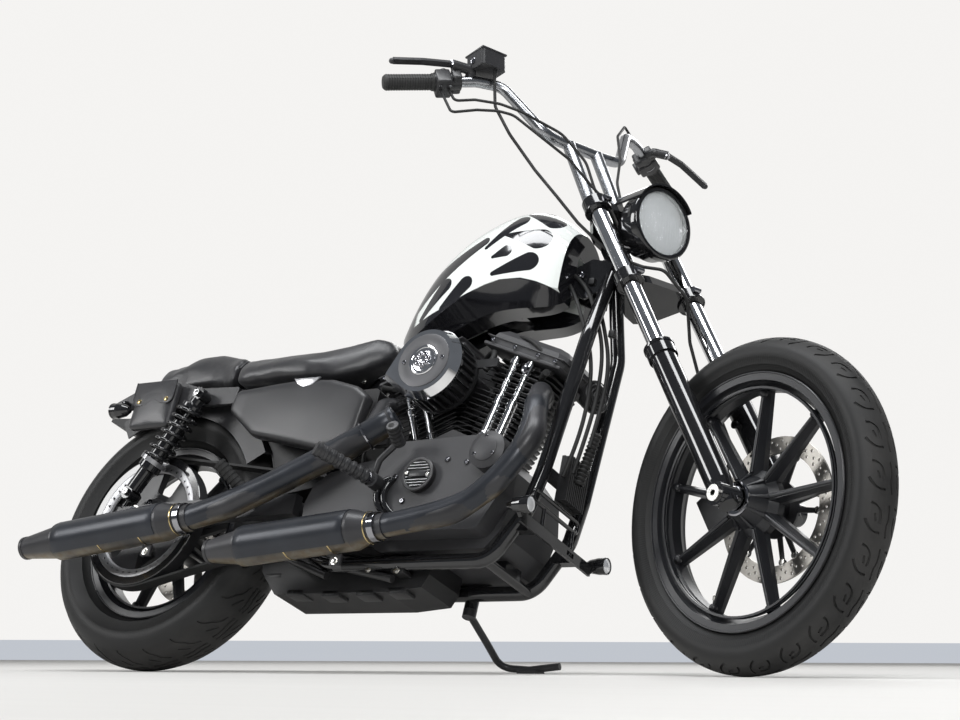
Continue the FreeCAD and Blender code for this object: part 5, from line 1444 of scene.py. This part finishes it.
def buildLevers():
    # pivot and tip of each lever, measured on the fork
    for name, pivot, tip in (("right", (1268, -52, -306), (1287, -113, -432)),
                             ("left", (1208, -30, 318), (1150, -38, 430))):
        settled(ball(onFork(*tip), 7.0, 20), "lever_ball_%s_v" % name, "fork", satinBlack)
        screw = lathe([(0, -8), (7.5, -8), (7.5, 8), (6, 9.5), (0, 9.5)], onFork(*pivot), forkUp, 24)
        settled(screw, "lever_pivot_%s_v" % name, "fork", darkChrome)
    can = onFork(1262, -18, -236)
    canTurn = spun(-6, "Y")
    toBox = Matrix.Translation(can) @ canTurn
    lid = softened(placed(block((-33.5, 33.5), (-35.5, 35.5), (20, 24.5)), toBox), 1.6)
    settled(lid, "reservoir_lid_v", "fork", satinBlack)
    ring = lathe([(0, 0), (8, 0), (8, 2.4), (6.6, 3.2), (5.8, 2.2), (0, 2.2)],
                 can + canTurn @ spot(-4, -33.5, 0), rightWay, 32)
    settled(ring, "sight_ring_v", "fork", darkChrome)
    screws = [toBox @ moved(x, y, 25.5) @ spun(90, "X") @ spun(180, "X") for x in (-24, 24) for y in (-26,
            26)]
    settled(spread(socketScrew(3.6, 1.8), screws), "reservoir_screws_v", "fork", darkChrome)
    print("levers built")


def buildForkHardware():
    for name, side in bothSides:
        y = rest["forkHalfSpan"] * side
        outward = spun(0 if side < 0 else 180, "X")
        cap = onFork(834, 0, y)
        top = lathe([(0, 6), (12, 6), (14, 4), (19.6, 4), (20.5, 2), (20.5, -3), (0, -3)], cap, forkUp, 36)
        settled(top, "fork_cap_%s_v" % name, "fork", chrome)
        hexTop = rod(cap + forkUp * 0.005, cap + forkUp * 0.014, 11, None, 6)
        settled(softened(hexTop, 0.8), "fork_cap_nut_%s_v" % name, "fork", darkChrome)
        top = onFork(390, 0, y)
        ring = lathe([(20.5, -4), (32.2, -4), (32.6, -2), (32.6, 3), (31, 4.4), (20.5, 4.4)], top, forkUp,
                     56, True)
        drills = []
        for k in range(14):
            m = facing(top, forkUp, math.degrees(2 * math.pi * k / 14))
            drills.append(placed(rod(spot(28, 0, 0), spot(38, 0, 0), 1.5, None, 8), m))
        settled(carved(ring, joined(drills)), "slider_ring_%s_v" % name, "fork", glossBlack)
        wiper = lathe([(20.0, 0), (24.5, 0), (24.5, 3.5), (21.5, 6.5), (20.0, 6.5)], onFork(394, 0, y),
                      forkUp, 48, True)
        settled(wiper, "wiper_%s_v" % name, "fork", rubber)
        for level, label in ((592, "lower"), (819, "upper")):
            bolt = lathe([(0, -9), (6.5, -9), (6.5, 9), (5.5, 10), (0, 10)], onFork(level, 31, y * 0.93),
                         leftWay, 20)
            settled(bolt, "%s_clamp_bolt_%s_v" % (label, name), "fork", darkChrome)
            collar = lathe([(27, -16.8), (29.8, -16.8), (30.4, -15), (30.4, -13.2), (28.4, -12.4),
                            (27, -12.4)],
                           onFork(level, 0, y), forkUp, 48, True)
            settled(collar, "%s_clamp_ring_%s_v" % (label, name), "fork", glossBlack)
        pinch = placed(socketScrew(4.5, 4), Matrix.Translation(onFork(8, -27, side * 90)) @ outward)
        settled(pinch, "axle_pinch_%s_v" % name, "fork", zinc)
    # riser bolts at the foot of the handlebar
    for i, y in enumerate((-70, -33, 33, 70)):
        bolt = placed(socketScrew(5, 5), facing(onFork(842, -30, y), forkUp) @ spun(90, "X"))
        settled(bolt, "riser_bolt_%d_v" % i, "fork", darkChrome)
    # clips, bolts, looms and a boot round the steering head and the down tubes
    clips = []
    for x, z in ((1046, 880), (1086, 812), (1120, 742)):
        clips.append(softened(block((x - 7, x + 7), (-34, -22), (z - 8, z + 8)), 1.4))
    settled(joined(clips), "neck_clips_v", "frame", plasticBlack)
    bolts = copiesAt(hexHead(7, 6), ((1017, 899), (1040, 850), (996, 858)), -31)
    settled(bolts, "neck_bolts_v", "frame", darkChrome)
    looms = [
        [(1000, -30, 900), (1046, -48, 860), (1080, -44, 790), (1112, -40, 700), (1120, -42, 600),
         (1112, -44, 500),
         (1094, -42, 410)],
        [(990, -36, 880), (1030, -58, 830), (1060, -54, 760), (1094, -52, 680), (1106, -52, 590),
         (1098, -50, 480),
         (1076, -50, 400)],
        [(1010, 20, 890), (1060, -18, 840), (1096, -24, 760), (1126, -28, 670), (1130, -34, 570),
         (1118, -36, 470)],
    ]
    for i, route in enumerate(looms):
        cable(route, 4.4, "loom_%d_v" % i)
    folds = [v for k in range(13) for v in ((9.0, k * 9.0), (12.5, k * 9.0 + 4.5))] + [(9, 117)]
    settled(lathe(folds, spot(1101, -24, 392), Vector((0.19, 0, 0.98)), 32, True), "boot_v", "frame",
            rubber)
    print("fork dressed")


def bellows(a, b, radius, count, name, material=rubber):
    length = (b - a).length / mm
    pitch = length / count
    fold = ((0.82, 0.15), (1, 0.3), (1, 0.7), (0.82, 0.85))
    profile = [(0, 0)]
    for k in range(count):
        profile += [(radius * size, k * pitch + pitch * share) for size, share in fold]
    profile.append((0, length))
    settled(lathe(profile, a, b - a, 28), name, "frame", material)


def buildFeet():
    for name, side in bothSides:
        bellows(spot(684, side * 184, 359), spot(612, side * 290, 384), 16.6, 8, "peg_ribs_%s_v" % name,
                satinBlack)
        bellows(spot(340, side * 162, 345), spot(290, side * 226, 400), 15.4, 9, "rear_peg_ribs_%s_v" % name)
        clevis = softened(placed(block((-12, 12), (-9, 9), (-10, 14)), moved(346, side * 154, 338)), 2)
        settled(clevis, "rear_peg_clevis_%s_v" % name, "frame", chrome)
        hub = lathe([(0, -10), (11, -10), (11, 10), (0, 10)], spot(690, side * 187, 356),
                    Vector((0, side, 0)), 30)
        settled(hub, "peg_hub_%s_v" % name, "frame", darkChrome)
        bellows(spot(738, side * 178, 438), spot(748, side * 227, 458), 14.2, 5, "pad_ribs_%s_v" % name)
    print("foot controls dressed")


def buildShocks():
    # coil in turns, its two ends along the shock, and its radius
    coil = {"turns": 6.6, "start": 0.098, "stop": 0.240, "radius": 0.0285, "steps": 16}
    for name, side in bothSides:
        low, high = spot(-31, side * 150, 374), spot(107, side * 150, 620)
        axis = (high - low).normalized()
        points = []
        side1 = axis.cross(leftWay).normalized()
        side2 = axis.cross(side1)
        for i in range(int(coil["turns"] * coil["steps"]) + 1):
            turn = 2 * math.pi * i / coil["steps"]
            level = coil["start"] + (coil["stop"] - coil["start"]) * i / (coil["turns"] * coil["steps"])
            out = side1 * math.cos(turn) + side2 * math.sin(turn)
            points.append(low + axis * level + out * coil["radius"])
        stands = ("shock_springs",) if side < 0 else ()
        settled(bar(points, 4.6, 4, 3), "coil_%s_v" % name, "frame", glossBlack, stands)
        collar = lathe([(27.2, 0), (32.5, 0), (32.5, 11), (27.2, 11)], low + axis * 0.086, axis, 44, True)
        notches = []
        for k in range(14):
            m = facing(low + axis * 0.0915, axis, k * 360 / 14)
            notches.append(placed(block((30.2, 36), (-1.8, 1.8), (-8, 8)), m))
        settled(carved(collar, joined(notches)), "shock_collar_%s_v" % name, "frame", castAluminium)
        for place, label, size in ((low, "low", 7), (high, "high", 8)):
            toEnd = Matrix.Translation(place + spot(0, side * 15, 0)) @ spun(0 if side < 0 else 180, "X")
            head = placed(socketScrew(size, 6), toEnd)
            settled(head, "shock_bolt_%s_%s_v" % (label, name), "frame", chrome)
    print("shocks dressed")


def buildCovers():
    # notched badges on the side covers, left blank, and the nuts of the rear axle
    for name, side in bothSides:
        badge = slab([(378, 639.5), (456, 638), (436, 620), (410, 616), (392, 624)], side * 146.5,
                     side * 151.5)
        settled(softened(badge, 1.2, 2), "badge_%s_v" % name, "frame", steel)
    nutEdge = [(0, 0), (16, 0), (16, 5), (13, 8), (0, 8)]
    nuts = [lathe(nutEdge, spot(0, y, 323), Vector((0, side, 0)), 6) for y, side in ((-156, -1), (138, 1))]
    settled(softened(joined(nuts), 0.8), "rear_axle_nuts_v", "frame", chrome)
    print("covers dressed with badges")


def buildGuard():
    # dark inner guard between the fender and the battery, bent round the tyre
    angles = [math.radians(a) for a in range(-6, 33, 3)]
    outline = [(343 * math.cos(a), 323 + 343 * math.sin(a)) for a in angles]
    outline += [(339.5 * math.cos(a), 323 + 339.5 * math.sin(a)) for a in reversed(angles)]
    settled(slab(outline, -72, 72), "inner_guard_v", "frame", plasticBlack)
    # upright panel that closes the gap ahead of it
    panel = slab([(40, 664), (100, 653), (172, 622), (244, 567), (299, 495), (324, 441), (340, 383),
                  (452, 400), (452, 648),
                  (200, 668), (40, 672)], -74, 74)
    settled(softened(panel, 2), "inner_panel_v", "frame", plasticBlack)


def buildLenses():
    for name, side in bothSides:
        for where, at, way, radius in (("front", spot(1087, side * 162, 289), aheadWay, 16.4),
                                       ("rear", spot(-167, side * 148, 601), -aheadWay, 17.4)):
            dome = lathe([(0, 4.4), (6, 4.0), (11, 2.6), (radius - 1, 0.6), (radius, -1), (radius, -3),
                          (0, -3)], at, way, 36)
            settled(dome, "%s_lens_%s_v" % (where, name), "frame", mirrorSilver)
            trim = lathe([(radius, -3), (radius + 2.2, -3), (radius + 2.2, 1.2), (radius + 1.2, 2.0),
                          (radius, 1.2)],
                         at, way, 44, True)
            settled(trim, "%s_lens_ring_%s_v" % (where, name), "frame", glossBlack)


def buildHousings():
    for name, side in bothSides:
        out, inner = gripLine(side)[1:]
        ahead = (forkAhead - out * forkAhead.dot(out)).normalized()
        up = out.cross(ahead) if out.cross(ahead).dot(forkUp) > 0 else ahead.cross(out)
        axes = Matrix((out, ahead, up)).transposed().to_4x4()
        if axes.determinant() < 0:
            axes = Matrix((out, ahead, -up)).transposed().to_4x4()
        toGrip = Matrix.Translation(inner) @ axes
        # the housing, its neighbour on the bar, and the part behind it
        pieces = [softened(placed(block(x, y, z), toGrip), width, segments) for x, y, z, width, segments in (
            ((-38, -2), (-27, 24), (-27, 20), 5, 3), ((-62, -40), (-24, 27), (-17, 19), 5, 3),
            ((-31, -9), (-34, -24), (-16, 10), 2.5, 2))]
        settled(joined(pieces), "switch_body_%s_v" % name, "fork", satinBlack)
        screws = [toGrip @ moved(x, 10, -27) @ spun(90, "X") for x in (-32, -10)]
        settled(spread(socketScrew(3.2, 2.2), screws), "switch_screws_%s_v" % name, "fork", darkChrome)


def buildSideCovers():
    for name, side in bothSides:
        node = "side_cover_" + name
        skin = nodeCopy(node, node)
        modified(skin, "REMESH", mode="VOXEL", voxel_size=5 * mm)
        modified(skin, "SMOOTH", factor=0.6, iterations=12)
        for corner in skin.data.vertices:
            x, z = corner.co.x / mm, corner.co.z / mm
            if abs(corner.co.y) / mm > 136:
                swell = max(0.0, 1 - ((x - 430) / 190) ** 2) * max(0.0, 1 - ((z - 566) / 100) ** 2)
                corner.co.y += side * swell * 7 * mm
        modified(skin, "SMOOTH", factor=0.5, iterations=6)
        settled(skin, node + "_v", "frame", satinBlack, (node,), 60)
    print("side covers swelled")


buildGuard()
buildLenses()
buildHousings()
buildSideCovers()
buildGrips()
buildLevers()
buildForkHardware()
buildFeet()
buildShocks()
buildCovers()
